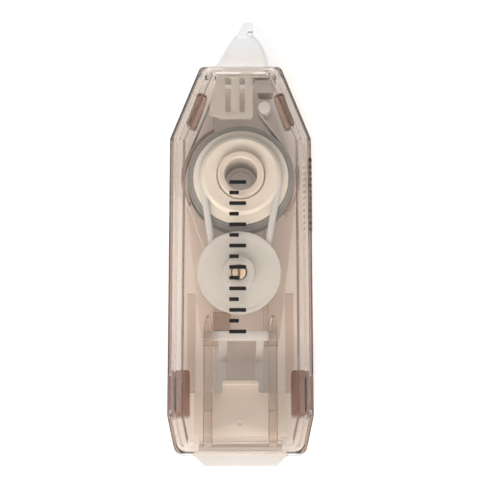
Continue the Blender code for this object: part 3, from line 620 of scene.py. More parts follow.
def makeShell(name, side, low, high):
    wall = case["wall"]
    sink = wall / 4    # how far the ribs reach into the wall
    shell = loft(name, caseRings(clipped(shrunkProfile(0, case["outerRound"]), low, high)))
    inner = shrunkProfile(wall, case["innerRound"], case["innerLower"])
    if side == "back":
        hollow = clipped(inner, floorZ, high) + [Vector((wall, high + wall))]
    else:
        hollow = [Vector((wall, low - wall))] + clipped(inner, low, roofZ)
    taken = [loft("hollow", caseRings(hollow)), *caseOpenings()]
    if side == "back":
        added = makeRunners(sink) + gripRibs(case["edgeHeight"] / 2, high)
    else:
        added = makeRails(sink) + gripRibs(low, depth - case["edgeHeight"] / 2)
    combine(shell, taken[0], "DIFFERENCE")
    for addition in added:
        combine(shell, addition, "UNION")
    for cutter in taken[1:]:
        combine(shell, cutter, "DIFFERENCE")
    settle(shell, [*added, *taken], 32)
    # the broad flat faces keep their true direction, or light bends across them
    for face in shell.data.polygons:
        face.use_smooth = face.use_smooth and face.area < case["flatFace"]
    return shell


fit(makeShell("backShell", "back", 0, seamLow), caseClear, "case", "back_shell")
fit(makeShell("frontShell", "front", seamHigh, depth), caseClear, "case", "front_shell")
print("case shells built")

# side release buttons: a pad in the wall's window and a flange behind it
for side, direction in (("left", -1), ("right", 1)):
    low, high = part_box("release_button_" + side)
    inner = low.x if direction > 0 else high.x
    outer = high.x if direction > 0 else low.x
    wallFace = direction * (sideHalf(releaseY) - case["wall"] - release["behindWall"])
    flangeOutline = rectangle(*sorted((inner, wallFace)), low.y, high.y)
    flange = prism("releaseButton" + side.title(), roundOutline(flangeOutline, release["flangeRound"], 5),
                   low.z, high.z)
    padOutline = rectangle(*sorted((wallFace - direction * case["wall"], outer)),
                           *bandAt(releaseY, release["padLength"]))
    pad = prism("pad", padOutline, releaseZ - release["padDepth"] / 2,
                releaseZ + release["padDepth"] / 2 + release["padLift"])
    piece = build(flange, [pad], soften=release["edge"])
    fit(piece, releaseClear, side + "_release", "release_button_" + side)
print("release buttons built")


# painted shade: dark lines where the front face meets its side bevels, and along both edges of each rail,
# standing for the dark lines that light bending in the clear edges leaves there
lines = {
    "inset": 3.35 * mm, "width": 0.16 * mm, "height": 0.4 * mm, "bend": 1.2 * mm,
    "railWidth": 0.13 * mm, "railHeight": 1.3 * mm, "railPast": 0.3 * mm, "railBend": 0.25 * mm,
    "under": 0.02 * mm,    # clear of the face above
}


def mergeShapes(name, parts, material, body):
    shape = bmesh.new()
    for part in parts:
        shape.from_mesh(part.data)
    for part in parts:
        bpy.data.objects.remove(part, do_unlink=True)
    piece = newObject(name, meshFrom(name, shape))
    piece.data.materials.append(material)
    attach(piece, body)
    return piece


edges = []
corners = insetOutline(caseCorners(lines["inset"]), lines["inset"])
for side in (corners[:4], corners[4:]):
    outline = stripOutline(roundPath(side, lines["bend"], 5), lines["width"])
    edges.append(prism("edge", outline, roofZ - lines["height"], roofZ - lines["under"]))
for direction in (-1, 1):
    middle, half = direction * ribs["railX"], ribs["railWidth"] / 2
    bottom, top = caseLow.y + 1.6 * case["wall"], ribs["railTop"] + lines["railPast"]
    path = roundPath([(middle + half, bottom), (middle + half, top - ribs["ramp"]),
                      (middle + half / 3, top), (middle - half / 3, top),
                      (middle - half, top - ribs["ramp"]), (middle - half, bottom)], lines["railBend"], 3)
    edges.append(prism("edge", stripOutline(path, lines["railWidth"]), roofZ - lines["railHeight"],
                       roofZ - lines["under"]))
mergeShapes("caseEdgeShadeLines", edges, edgeShadeBrown, "case")

# painted highlight: a small white bar across each rail, where a bright line of light crosses it
step = {"y": -38.0 * mm, "width": 0.45 * mm, "wider": 0.62, "corner": 0.2 * mm,
        "below": 0.15 * mm, "above": 0.2 * mm}
steps = []
for direction in (-1, 1):
    middle, half = direction * ribs["railX"], ribs["railWidth"] * step["wider"]
    outline = rectangle(middle - half, middle + half, *bandAt(step["y"], step["width"]))
    railFoot = roofZ - ribs["railHeight"]
    steps.append(prism("step", roundOutline(outline, step["corner"], 4), railFoot - step["below"],
                       railFoot + step["above"]))
mergeShapes("railHighlightBars", steps, partWhite, "case")

# tinted blocks that hang from the front shell inside the shoulders
shoulder = {"path": ((8.3, 32.6), (9.4, 29.0), (10.9, 25.0)), "width": 2.1 * mm, "round": 0.7 * mm,
            "edge": 0.5 * mm, "overTape": 0.6 * mm, "under": 0.05 * mm}
blocks = []
for direction in (-1, 1):
    path = [(direction * x * mm, y * mm) for x, y in shoulder["path"]]
    block = prism("block", roundOutline(stripOutline(path, shoulder["width"]), shoulder["round"], 5),
                  tapeHigh + shoulder["overTape"], roofZ - shoulder["under"])
    softenEdges(block, shoulder["edge"], 4)
    blocks.append(settle(block))
mergeShapes("shoulderBlocks", blocks, releaseClear, "case")
print("ribs, lines and blocks built")

# clearances between the layers of the carriage
reach = {"slide": 0.3 * mm, "seat": 0.2 * mm, "turn": 0.3 * mm}
frameLow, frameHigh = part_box("carriage_frame")
postLow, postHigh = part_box("tape_guide_post")
barLow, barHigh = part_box("slide_crossbar")
buttonLow, buttonHigh = buttonBox
noseLow, noseHigh = noseBox
plateLow, plateHigh = frameLow.z, postLow.z - reach["seat"]
rollRadius, discRadius = radiusOf("tape_roll"), radiusOf("take_up_front_disc")
post, postRadius = centreOf("tape_guide_post"), radiusOf("tape_guide_post")
linerRadius = radiusOf("used_liner_wrap")

carriage = {
    "rim": 0.7 * mm,
    "topGap": 1.2 * mm,                      # from the plate to the nose
    "topInsets": (0.4 * mm, 0.7 * mm),       # left and right, inside the nose's own sides
    "strutHalf": 3.2 * mm,
    "strutEnd": frameLow.y,
    "riserInset": 0.6 * mm,
    "riserRound": 0.3 * mm,
    "riserTop": frameLow.z + 5.8 * mm,
    "sink": 0.3 * mm,                        # how far raised parts reach into the plate
    "axleRadius": 3.3 * mm,
    "axleWall": 0.7 * mm,
    "axleHeight": 1.2 * mm,
    "axleRound": 0.2 * mm,
    "pinRadius": 1.5 * mm,
    "pinTop": frameHigh.z,
    "pinRound": 0.3 * mm,
    "pinEdge": 0.08 * mm,
    "split": 0.5 * mm,
    "guideWall": 0.4 * mm,
    "guideGap": 0.2 * mm,
    "guideArcs": ((118, 206), (-40, 12)),    # degrees round the supply reel
    "edge": 0.12 * mm,
}
nearAxis = 0.05 * mm    # the turned pieces that are solid start this far from their axis


def hullOutline(points):
    # the outer corners, counter-clockwise
    ordered = sorted((round(p[0], 7), round(p[1], 7)) for p in points)

    def chain(row):
        kept = []
        for point in row:
            while len(kept) > 1:
                a, b = Vector(kept[-2]), Vector(kept[-1])
                if (b - a).cross(Vector(point) - b) > 1e-12:
                    break
                kept.pop()
            kept.append(point)
        return kept[:-1]

    return chain(ordered) + chain(ordered[::-1])


def softProfile(corners, steps=5):
    # closed profile of (radius, height, rounding)
    points = []
    for index, (radius, height, soft) in enumerate(corners):
        if soft:
            before, after = corners[index - 1][:2], corners[(index + 1) % len(corners)][:2]
            points += fillet(before, (radius, height), after, soft, steps)
        else:
            points.append(Vector((radius, height)))
    return points


def plainRing(name, centre, outer, inner, low, high, softTop=0, softBottom=0, steps=144):
    # a ring with a rectangular section; the roundings are those of its top and bottom edges
    return turned(name, softProfile([(outer, high, softTop), (outer, low, softBottom),
                                     (inner, low, softBottom), (inner, high, softTop)]), centre, steps)


def makeCarriage():
    look = carriage
    rim = rollRadius + look["rim"]
    top = caseHigh.y - case["wall"] - reach["slide"] - look["topGap"]
    leftInset, rightInset = look["topInsets"]
    corners = [(noseShape["left"] + leftInset, top), (noseShape["right"] - rightInset, top),
               (barHigh.x, barLow.y), (barLow.x, barLow.y)]
    lobes = circlePoints(supply, rim, 96) + circlePoints(takeUp, discRadius + look["rim"], 64)
    plate = prism("carriageFrame", hullOutline(lobes + corners), plateLow, plateHigh)
    sunk = plateHigh - look["sink"]
    half, inset = look["strutHalf"], look["riserInset"]
    strut = prism("strut", rectangle(-half, half, look["strutEnd"], barHigh.y),
                  plateLow + 0.01 * mm, plateHigh - 0.01 * mm)
    riserOutline = rectangle(-half + inset, half - inset, look["strutEnd"] + 0.2 * mm, buttonHigh.y - inset)
    riser = prism("riser", roundOutline(riserOutline, look["riserRound"], 3), sunk, look["riserTop"])
    axle = plainRing("supplyAxle", supply, look["axleRadius"], look["axleRadius"] - look["axleWall"],
                     sunk, plateHigh + look["axleHeight"], look["axleRound"], 0, 72)
    added = [strut, riser, axle]
    inner = rollRadius + reach["turn"] + look["guideGap"]
    for start, end in look["guideArcs"]:
        path = arcPoints(supply, inner + look["guideWall"] / 2, math.radians(start), math.radians(end), 28)
        added.append(prism("guideWall", stripOutline(path, look["guideWall"]), sunk, tapeHigh))
    frame = build(plate, added, [], look["edge"], 2)
    fit(frame, carriageClear, "carriage", "carriage_frame")

    # the take-up reel's axle is a split pin with rounded ends
    radius, pinTop = look["pinRadius"], look["pinTop"]
    pin = turned("splitPin", softProfile([(radius, pinTop, look["pinRound"]), (radius, sunk, 0),
                                          (nearAxis, sunk, 0), (nearAxis, pinTop, 0)]), takeUp, 48)
    slitOutline = rectangle(*bandAt(takeUp.x, look["split"]), takeUp.y - 2 * radius, takeUp.y + 2 * radius)
    slit = prism("slit", slitOutline, pulleyLow.z + 1 * mm, pinTop + 1 * mm)
    fit(build(pin, [], [slit], look["pinEdge"], 2), pinTan, "carriage", "carriage_frame")


makeCarriage()

guidePost = turned("tapeGuidePost", softProfile([
    (postRadius, postHigh.z, 0.25 * mm), (postRadius, postLow.z, 0.1 * mm),
    (nearAxis, postLow.z, 0), (nearAxis, postHigh.z, 0)]), post, 64)
fit(guidePost, partWhite, "carriage", "tape_guide_post")

# crossbar with a sloping leg under each side
bar = {"thick": 1.6 * mm, "round": 0.3 * mm, "legs": ((-4.8, -3.0), (3.4, 5.0)), "legInset": 0.2 * mm,
       "legDrop": 0.5 * mm, "footHeight": 0.4 * mm, "slope": 3.6 * mm, "edge": 0.15 * mm}
barOutline = rectangle(barLow.x, barHigh.x, barLow.y, barHigh.y)
crossbar = prism("slideCrossbar", roundOutline(barOutline, bar["round"], 4),
                 barHigh.z - bar["thick"], barHigh.z)
legs = []
for left, right in bar["legs"]:
    back, legTop, foot = barHigh.y - bar["legInset"], barHigh.z - bar["legDrop"], barLow.y - bar["slope"]
    profile = [(back, legTop), (barLow.y + bar["legInset"], legTop), (foot, barLow.z + bar["footHeight"]),
               (foot, barLow.z), (back, barLow.z)]
    legs.append(loft("leg", [[(x * mm, y, z) for y, z in profile] for x in (left, right)]))
fit(build(crossbar, legs, soften=bar["edge"]), partWhite, "carriage", "slide_crossbar")

# a thicker patch of clear plastic on the plate, above the crossbar
patch = {"left": -6.1 * mm, "right": -2.2 * mm, "start": 1.2 * mm, "end": 5.2 * mm, "round": 0.2 * mm,
         "lift": 0.02 * mm, "top": 2.4 * mm}
patchOutline = rectangle(patch["left"], patch["right"], barHigh.y + patch["start"], barHigh.y + patch["end"])
platePatch = prism("platePatch", roundOutline(patchOutline, patch["round"], 3), plateHigh + patch["lift"],
                   plateHigh + patch["top"])
platePatch.data.materials.append(releaseClear)
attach(platePatch, "carriage")
print("carriage built")

# nose with its hooked tip, and the tongue and collar that hold it in the case
nose = {
    "base": 9.9 * mm,
    "neck": 2.9 * mm,
    "leftSlope": 4.3 * mm,
    "leftCurve": (0.88, 0.12),      # straight share, and the share that turns in late
    "rightSlope": 3.4 * mm,
    "rightCurve": (0.75, 0.25),
    "thinning": 0.10,
    "stations": 22,
    "wall": 0.4 * mm,
    "land": 0.1 * mm,               # beside the tape
    "hook": ((-1.0, 3.6), (1.6, 3.6), (1.65, 2.1), (2.9, 2.0), (2.95, 0.75), (2.3, 0.08),
             (1.3, 0), (0.5, 0.3), (0.1, 1.0)),    # x, and distance down from the top
    "headRound": 0.38 * mm,
    "headEdge": 0.16 * mm,
    "groove": 0.34 * mm,
    "channel": 0.25 * mm,
    "notch": (1.68 * mm, 3.4 * mm),
    "notchTop": 2.0 * mm,
    "notchSlope": 0.2,
    "notchPast": 0.01 * mm,
}
tongue = {
    "left": -5.2 * mm,
    "right": 2.75 * mm,
    "length": 10.0 * mm,
    "thickness": 1.1 * mm,
    "round": 0.5 * mm,
    "wing": ((0.5, 2.2), (1.2, 4.6), (1.7, 7.0), (1.8, 9.0), (0.9, 9.4)),    # out, and down
    "foot": (0.3 * mm, 0.6 * mm, 0.4 * mm),    # two steps across and one up, at the lower left
    "slots": (1.8 * mm, 4.95 * mm),
    "slotWidth": 1.25 * mm,
    "slotEnd": 1.5 * mm,
    "edge": 0.1 * mm,
}
collar = {
    "right": 7.7 * mm,
    "length": 3.7 * mm,
    "capGap": 0.25 * mm,            # from the tongue
    "capTop": 1.0 * mm,
    "capRound": 0.7 * mm,
    "step": 0.2 * mm,               # the cap stands this far out from the block under it
    "blockGap": 1.2 * mm,
    "blockTop": 1.1 * mm,
    "blockRound": 0.6 * mm,
    "edge": 0.2 * mm,
}
tapeMiddle = (tapeLow + tapeHigh) / 2
noseBack = caseHigh.y - case["wall"] - reach["slide"]
landLow, landHigh = tapeLow - nose["land"], tapeHigh + nose["land"]


def headOutline():
    return [(x * mm, noseHigh.y - down * mm) for x, down in nose["hook"]]


def noseRings():
    look = nose
    halfDepth = tapeMiddle - noseLow.z
    start, end = noseHigh.y - look["base"], noseHigh.y - look["neck"]
    sections = [(noseBack - 0.3 * mm, 0)]
    for station in range(look["stations"] + 1):
        sections.append((start + (end - start) * station / look["stations"], station / look["stations"]))
    leftEven, leftLate = look["leftCurve"]
    rightEven, rightLate = look["rightCurve"]
    rings = []
    for y, share in sections:
        left = noseShape["left"] + look["leftSlope"] * (leftEven * share + leftLate * share ** 8)
        right = noseShape["right"] - look["rightSlope"] * (rightEven * share ** 1.7 + rightLate * share ** 8)
        half = halfDepth * (1 - look["thinning"] * share ** 2)
        section = rectangle(left, right, tapeMiddle - half, tapeMiddle + half)
        rings.append([(x, y, z) for x, z in roundOutline(section, noseShape["corner"], 8)])
    return rings


def makeNose():
    look = nose
    dome = loft("noseTip", noseRings(), 50)
    headLow, headHigh = landLow - look["wall"], landHigh + look["wall"]
    head = prism("head", roundOutline(headOutline(), look["headRound"], 5), headLow, headHigh)
    softenEdges(head, look["headEdge"], 4)
    tape, liner = tapePath(), linerPath()
    taken = [prism("groove", stripOutline(tapeSide[3:9], look["groove"]), landLow, landHigh)]
    for first, last in ((tape[7], tape[8]), (liner[4], liner[3])):
        channel = stripOutline([Vector(first), Vector(last)], look["channel"])
        taken.append(prism("channel", channel, landLow, landHigh))
    # the notch under the hook opens towards the back
    lean = (landHigh - landLow + 2 * look["wall"]) * look["notchSlope"]
    left, right = look["notch"]
    low, high = noseHigh.y - look["neck"], noseHigh.y - look["notchTop"]
    mouths = ((high + lean, headLow - look["notchPast"]), (high, headHigh + look["notchPast"]))
    taken.append(loft("notch", [[(left, low, z), (right, low, z), (right, upper, z), (left, upper, z)]
                                for upper, z in mouths]))
    dome = build(dome, [settle(head)], taken, smoothAngle=50)
    fit(dome, noseWhite, "carriage", "nose_tip")


def makeTongue():
    look = tongue
    low = tapeHigh + reach["seat"]
    high = low + look["thickness"]
    left, right, end = look["left"], look["right"], noseBack - look["length"]
    firstStep, secondStep, rise = look["foot"]
    outline = [(right, noseBack - 0.02 * mm), (left, noseBack - 0.02 * mm)]
    outline += [(left - out * mm, noseBack - down * mm) for out, down in look["wing"]]
    outline += [(left + firstStep, end + rise), (left + secondStep, end), (right, end)]
    blade = prism("noseTongue", roundOutline(outline, look["round"], 4), low, high)
    band = prism("band", rectangle(left + 0.2 * mm, collar["right"] - 0.2 * mm, noseBack - 0.35 * mm,
                                   noseBack - 0.03 * mm), low + 0.05 * mm, high - 0.05 * mm)
    slots = []
    for across in look["slots"]:
        start = left + across
        slot = rectangle(start, start + look["slotWidth"], end + look["slotEnd"], noseBack - 0.4 * mm)
        slots.append(prism("slot", roundOutline(slot, look["slotWidth"] * 0.48, 6),
                           low - 1 * mm, high + 1 * mm))

    block, step = collar, collar["step"]
    bottom = noseBack - block["length"]
    capOutline = rectangle(right + block["capGap"], block["right"],
                           bottom - step, noseBack - block["capTop"])
    cap = prism("noseCollar", roundOutline(capOutline, block["capRound"], 5), low, high - 0.2 * mm)
    blockOutline = rectangle(right + block["blockGap"], block["right"] - step,
                             bottom, noseBack - block["blockTop"])
    under = prism("collar", roundOutline(blockOutline, block["blockRound"], 4),
                  plateHigh + reach["slide"], high - 0.3 * mm)
    # painted shade: the collar's darker colour stands for the shade inside the case
    fit(build(cap, [under], soften=block["edge"]), collarShadedWhite, "carriage", "nose_tip")
    fit(build(blade, [band], slots, soften=look["edge"]), tongueWhite, "carriage", "nose_tip")


# the tape's path, with a little room between it and what it runs round
tapeRoom = {"inset": 0.15 * mm, "thickness": 0.05 * mm, "post": 0.1 * mm, "roll": 0.1 * mm,
            "guide": 0.15 * mm}
tapeSide = insetOutline(headOutline(), tapeRoom["inset"])


def tapePath():
    # off the right of the roll, round the left of the guide post, up to the tip
    ownRadius = postRadius + tapeRoom["thickness"] / 2 + tapeRoom["post"]
    roll = rollRadius + tapeRoom["thickness"] / 2 + tapeRoom["roll"]
    gap = (post - supply).length
    leave = angleTo(supply, post) - math.acos((roll + ownRadius) / gap)
    start = supply + Vector((math.cos(leave), math.sin(leave))) * roll
    corner = tapeSide[3]
    toCorner = angleTo(post, corner) + math.acos(ownRadius / (corner - post).length)
    bend = arcPoints(post, ownRadius, leave + math.pi, toCorner, 6)
    return [start, *bend, corner, *tapeSide[4:6], (tapeSide[5] * 2 + tapeSide[6]) / 3]


def linerPath():
    # down the left of the tip, round the guide wall, onto the take-up spool
    around = rollRadius + reach["turn"] + carriage["guideGap"] + carriage["guideWall"] + tapeRoom["guide"]
    corner = tapeSide[8]
    arrive = angleTo(supply, corner) + math.acos(around / (corner - supply).length)
    wrap = linerRadius + tapeRoom["thickness"] / 2 + tapeRoom["roll"]
    leave = angleTo(supply, takeUp) - math.acos((around - wrap) / (takeUp - supply).length) + math.tau
    end = takeUp + Vector((math.cos(leave), math.sin(leave))) * wrap
    return [(tapeSide[5] + tapeSide[6] * 2) / 3, tapeSide[6], tapeSide[7], corner,
            *arcPoints(supply, around, arrive, leave, 28), end]


makeNose()
makeTongue()
for name, path, node in (("tapeRun", tapePath(), "tape_run"), ("linerRun", linerPath(), "liner_run")):
    strip = prism(name, stripOutline(path, tapeRoom["thickness"]), tapeLow, tapeHigh)
    fit(strip, stripWhite, "carriage", node)
print("nose and tape built")

# push button: a T-shaped plate inside the case and a thumb grip outside it
button = {
    "half": 10.1 * mm,
    "tailHalf": 7.9 * mm,
    "lugHalf": 4.0 * mm,
    "lugY": -31.0 * mm,
    "shoulderY": -33.8 * mm,
    "plate": 2.2 * mm,
    "plateRound": 0.4 * mm,
    "plateEdge": 0.16 * mm,
    "plateEnd": -43.3 * mm,
    "lip": 0.35 * mm,
    "lipDepth": 1.0 * mm,
    "lipInset": 0.1 * mm,
    "ring": (-0.3 * mm, -40.4 * mm),
    "ringRadius": 0.9 * mm,
    "ringHole": 0.66,               # share of the ring's radius
    "ringSink": 0.2 * mm,
    "ringRise": 0.1 * mm,
    "gripSlope": 0.3 * mm,
    "gripTop": 1.2 * mm,
    "gripRound": 0.5 * mm,
    "gripEdge": 0.35 * mm,
    "webInset": 1.0 * mm,
    "webStart": 1.7 * mm,
    "webPast": 1.5 * mm,
    "webRise": 0.4 * mm,
}


def makeButton():
    look = button
    low, high = buttonLow.z, buttonHigh.z
    wideEnd = caseLow.y + 2 * case["wall"]
    half, lug, tail = look["half"], look["lugHalf"], look["tailHalf"]
    plateEnd, shoulderY, lugY = look["plateEnd"], look["shoulderY"], look["lugY"]
    outline = [(half, shoulderY), (lug, shoulderY), (lug, lugY), (-lug, lugY),
               (-lug, shoulderY), (-half, shoulderY), (-half, plateEnd), (half, plateEnd)]
    plate = prism("pushButtonPlate", roundOutline(outline, look["plateRound"], 4), high - look["plate"], high)
    inset = look["lipInset"]
    lipOutline = rectangle(-lug + inset, lug - inset, lugY - look["lipDepth"], lugY - inset)
    lip = prism("lip", roundOutline(lipOutline, 0.3 * mm, 4), high - 0.3 * mm, high + look["lip"])
    ring = plainRing("ring", look["ring"], look["ringRadius"], look["ringRadius"] * look["ringHole"],
                     high - look["ringSink"], high + look["ringRise"], steps=40)
    plate = build(plate, [ring, lip], [], soften=look["plateEdge"], segments=3)
    # painted shade: the plate inside the case gets a darker copy of the button's cream
    fit(plate, buttonInsideShade, "carriage", "push_button")

    edge, top = caseLow.y - look["gripSlope"], wideEnd - look["gripTop"]
    outline = [(-half, top), (-half, edge), (-tail, buttonLow.y), (tail, buttonLow.y),
               (half, edge), (half, top)]
    grip = prism("pushButtonGrip", roundOutline(outline, look["gripRound"], 5), low, high)
    # the web joins the grip to the plate inside the case
    webHalf = half - look["webInset"]
    web = prism("web", rectangle(-webHalf, webHalf, wideEnd - look["webStart"], plateEnd + look["webPast"]),
                low + 0.1 * mm, high - look["plate"] + look["webRise"])
    fit(build(grip, [web], soften=look["gripEdge"], segments=4), buttonCream, "carriage", "push_button")


makeButton()
print("push button built")

reels = {
    "hubRadius": 5.2 * mm,
    "bore": 3.6 * mm,
    "spoolRadius": 7.0 * mm,
    "flange": 0.6 * mm,
    "flangeRadius": 10.65 * mm,
    "bossRadius": 8.9 * mm,
    "bossDish": 0.35 * mm,
    "groove": 7.65 * mm,
    "drumRadius": 3.8 * mm,
    "takeUpGroove": 4.15 * mm,
    "takeUpCheek": 6.05 * mm,
    "takeUpBore": 1.8 * mm,
    "backSmaller": 1.2 * mm,        # the take-up spool's back flange, against its CAD body
    "collar": 3.5 * mm,
    "faceHeight": 0.28 * mm,
    "rimWidth": 0.6 * mm,
    "rimHeight": 0.12 * mm,
    "rollSteps": 26,
    "rollDepths": (0.05, 0.0, 0.09, 0.02, 0.06),
    "layerWidth": 0.13 * mm,
    "soft": 0.1 * mm,               # rounding of most edges
}


def makeSupplyReel():
    look = reels
    coreLow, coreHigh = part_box("supply_core")
    washerLow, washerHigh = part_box("clutch_washer")
    hub, bore, spool, soft = look["hubRadius"], look["bore"], look["spoolRadius"], look["soft"]
    outer = radiusOf("supply_core")
    drumTop, flangeTop = washerLow.z - 0.1 * mm, coreLow.z + look["flange"]
    core = turned("supplyCore", softProfile([
        (hub, coreHigh.z, 0.35 * mm), (hub, drumTop, soft), (spool, drumTop, soft),
        (spool, flangeTop, soft), (outer, flangeTop, 0.15 * mm), (outer, coreLow.z, 0.15 * mm),
        (bore, coreLow.z, soft), (bore, coreHigh.z, 0.35 * mm)]), supply)
    fit(core, milkyPlastic, "supply_reel", "supply_core")

    # the roll's top shows its wound layers as shallow steps
    inner = spool + reach["seat"]
    profile = []
    for index in range(look["rollSteps"]):
        radius = rollRadius - 0.1 * mm - (rollRadius - inner - 0.2 * mm) * index / look["rollSteps"]
        top = tapeHigh - look["rollDepths"][index % len(look["rollDepths"])] * mm
        profile += [Vector((radius, top)), Vector((radius - look["layerWidth"], top))]
    profile += [Vector((inner, tapeHigh)), Vector((inner, tapeLow)), Vector((rollRadius, tapeLow)),
                Vector((rollRadius, tapeHigh - 0.06 * mm))]
    fit(turned("tapeRoll", profile, supply, 192), rollLayers, "supply_reel", "tape_roll")

    inner = hub + reach["seat"]
    washer = plainRing("clutchWasher", supply, spool - 0.1 * mm, inner, washerLow.z, washerHigh.z, soft, soft)
    fit(washer, feltGrey, "supply_reel", "clutch_washer")

    high, low = pulleyHigh.z, pulleyLow.z
    boss, groove, flange = look["bossRadius"], look["groove"], look["flangeRadius"]
    grooveTop, grooveFloor = high - 0.8 * mm, low + look["flange"]
    pulley = turned("drivePulley", softProfile([
        (boss - 0.75 * mm, high, 0.35 * mm), (boss, high - 0.55 * mm, 0.2 * mm),
        (boss, grooveTop, 0), (groove, grooveTop, soft), (groove, grooveFloor, soft),
        (flange, grooveFloor, 0.2 * mm), (flange, low, 0.15 * mm),
        (inner, low, soft), (inner, high - look["bossDish"], 0.2 * mm)]), supply, 192)
    fit(pulley, pulleyCream, "pulley", "drive_pulley")


def makeTakeUpReel():
    look = reels
    low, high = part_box("take_up_spool")
    back = radiusOf("take_up_spool") - look["backSmaller"]
    groove, cheek = look["takeUpGroove"], look["takeUpCheek"]
    drum, bore = look["drumRadius"], look["takeUpBore"]
    beltFloor, flangeTop, soft = pulleyLow.z + look["flange"], low.z + look["flange"], look["soft"]
    spool = turned("takeUpSpool", softProfile([
        (groove, high.z, 0.05 * mm), (groove, beltFloor, soft), (cheek, beltFloor, soft),
        (cheek, pulleyLow.z, soft), (drum, pulleyLow.z, soft), (drum, flangeTop, soft),
        (back, flangeTop, 0.15 * mm), (back, low.z, 0.15 * mm), (bore, low.z, soft),
        (bore, high.z, soft)]), takeUp)
    fit(spool, milkyPlastic, "take_up_reel", "take_up_spool")

    top, bottom, collarOut = discHigh.z, discLow.z, look["collar"]
    face = bottom + look["faceHeight"]
    disc = turned("takeUpFrontDisc", softProfile([
        (collarOut, top, 0.3 * mm), (collarOut + 0.25 * mm, face + 0.1 * mm, 0.45 * mm),
        (collarOut + 2.2 * mm, face, 0), (discRadius - 2 * look["rimWidth"], face + 0.02 * mm, 0.3 * mm),
        (discRadius - look["rimWidth"], face + look["rimHeight"], 0.15 * mm),
        (discRadius, face + 0.1 * mm, 0.12 * mm), (discRadius, bottom, soft),
        (bore, bottom, 0), (bore, top, 0.2 * mm)]), takeUp, 192)
    fit(disc, milkyDisc, "take_up_reel", "take_up_front_disc")

    inner = drum + 0.1 * mm
    wrap = turned("usedLinerWrap", softProfile([
        (linerRadius, tapeHigh, 0.08 * mm), (linerRadius, tapeLow, 0.08 * mm),
        (inner, tapeLow, 0), (inner, tapeHigh, 0)]), takeUp)
    fit(wrap, wrapLayers, "take_up_reel", "used_liner_wrap")


makeSupplyReel()
makeTakeUpReel()

# drive belt, a soft flattened cord round both pulleys
belt = {"onSupply": 8.6 * mm, "onTakeUp": 5.1 * mm, "half": 0.75 * mm, "tall": 0.6 * mm, "sides": 16}


def makeBelt():
    look = belt
    beltLow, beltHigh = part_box("drive_belt")
    middle = (beltLow.z + beltHigh.z) / 2
    span = (takeUp - supply).length
    heading = angleTo(supply, takeUp)
    spread = math.acos((look["onSupply"] - look["onTakeUp"]) / span)
    path = arcPoints(supply, look["onSupply"], heading + spread, heading - spread + math.tau, 60)
    path += arcPoints(takeUp, look["onTakeUp"], heading - spread, heading + spread, 32)
    rings = []
    for index, here in enumerate(path):
        along = (path[(index + 1) % len(path)] - path[index - 1]).normalized()
        across = Vector((along.y, -along.x))
        ring = []
        for side in range(look["sides"]):
            angle = math.tau * side / look["sides"]
            out = across * (math.cos(angle) * look["half"])
            ring.append((here.x + out.x, here.y + out.y, middle + math.sin(angle) * look["tall"]))
        rings.append(ring)
    fit(skin("driveBelt", rings, True, 60), beltWhite, "carriage", "drive_belt")


makeBelt()
print("reels and belt built")

# print on the front face: a plain measuring scale of short bars
scale = {"x": -0.6 * mm, "top": 12.2 * mm, "bottom": -21.0 * mm, "bars": 15, "long": 3.7 * mm,
         "short": 2.1 * mm, "width": 0.85 * mm, "corner": 0.15 * mm, "ink": 0.02 * mm}


def makeScale():
    look = scale
    bars = []
    pitch = (look["top"] - look["bottom"]) / (look["bars"] - 1)
    for index in range(look["bars"]):
        y = look["top"] - index * pitch
        length = look["long"] if index % 2 == 0 else look["short"]
        left = look["x"] - look["long"] / 2
        outline = rectangle(left, left + length, *bandAt(y, look["width"]))
        bars.append(prism("bar", roundOutline(outline, look["corner"], 3),
                          depth + look["ink"] / 2, depth + look["ink"] * 1.5))
    mergeShapes("printedScale", bars, inkBlack, "case")


makeScale()
print("print built")

# stage, light and camera
studio = {
    "tilt": 10.5, "distance": 0.45, "frameWidth": 0.10705, "aimX": -0.0001, "aimY": 0.0007,
    "sensor": 36, "nearest": 0.01,
    "floorDrop": 0.0005, "floorHalf": 2.0, "floorColour": (0.97, 0.97, 0.97), "floorRough": 0.9,
    "floorGlow": 0.27, "sky": 0.66,
}
lights = {
    "keyBox": {"place": (-0.08, -0.5, 0.45), "width": 0.5, "height": 0.3, "power": 3.4},
    "leftStrip": {"place": (-0.5, 0.05, 0.3), "width": 0.15, "height": 0.5, "power": 0.35},
    "rightStrip": {"place": (0.5, 0.0, 0.3), "width": 0.12, "height": 0.5, "power": 0.12},
}

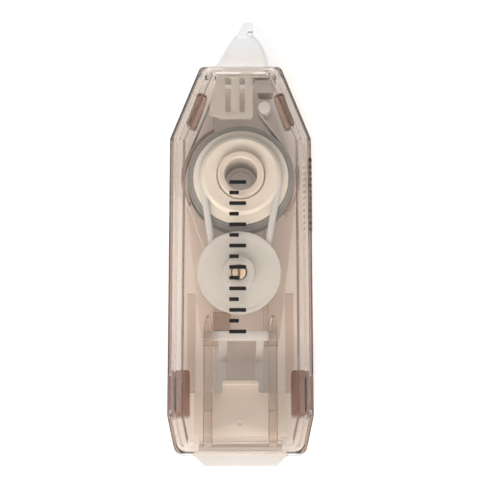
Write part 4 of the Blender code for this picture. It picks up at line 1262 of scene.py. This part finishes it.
floorMesh = bpy.data.meshes.new("studioFloor")
size = studio["floorHalf"]
floorCorners = [(x, y, 0) for x, y in rectangle(-size, size, -size, size)]
floorMesh.from_pydata(floorCorners, [], [(0, 1, 2, 3)])
floor = bpy.data.objects.new("studioFloor", floorMesh)
scene.collection.objects.link(floor)
floor.location.z = -studio["floorDrop"]
floorPaint = startMaterial("pale studio floor")[0]
floorShader = floorPaint.node_tree.nodes["Principled BSDF"]
floorShader.inputs["Base Color"].default_value = (*studio["floorColour"], 1)
floorShader.inputs["Roughness"].default_value = studio["floorRough"]
floorShader.inputs["Emission Color"].default_value = (1, 1, 1, 1)
floorShader.inputs["Emission Strength"].default_value = studio["floorGlow"]
floorMesh.materials.append(floorPaint)

world = bpy.data.worlds.new("studio")
world.use_nodes = True
sky = world.node_tree.nodes["Background"]
sky.inputs["Color"].default_value = (1, 1, 1, 1)
sky.inputs["Strength"].default_value = studio["sky"]
scene.world = world

for name, look in lights.items():
    # soft boxes, all turned towards the middle of the object
    lamp = bpy.data.lights.new(name, "AREA")
    lamp.shape = "RECTANGLE"
    lamp.size, lamp.size_y = look["width"], look["height"]
    lamp.energy = look["power"]
    made = bpy.data.objects.new(name, lamp)
    scene.collection.objects.link(made)
    made.location = look["place"]
    made.rotation_euler = (Vector() - Vector(look["place"])).to_track_quat("-Z", "Y").to_euler()

camera = bpy.data.objects.new("studioCamera", bpy.data.cameras.new("studioCamera"))
scene.collection.objects.link(camera)
tilt = math.radians(studio["tilt"])
aim = Vector((studio["aimX"], studio["aimY"], depth / 2))
camera.location = aim + Vector((0, -math.sin(tilt), math.cos(tilt))) * studio["distance"]
camera.rotation_euler = (tilt, 0, 0)
camera.data.sensor_width = studio["sensor"]
camera.data.lens = studio["sensor"] * studio["distance"] / studio["frameWidth"]
camera.data.clip_start = studio["nearest"]
scene.camera = camera
scene.view_settings.view_transform = "Standard"
# enough bounces for light to pass through all the clear layers
scene.cycles.max_bounces = 24
scene.cycles.transmission_bounces = 20
scene.cycles.transparent_max_bounces = 24
scene.cycles.diffuse_bounces = 6
print("studio set")
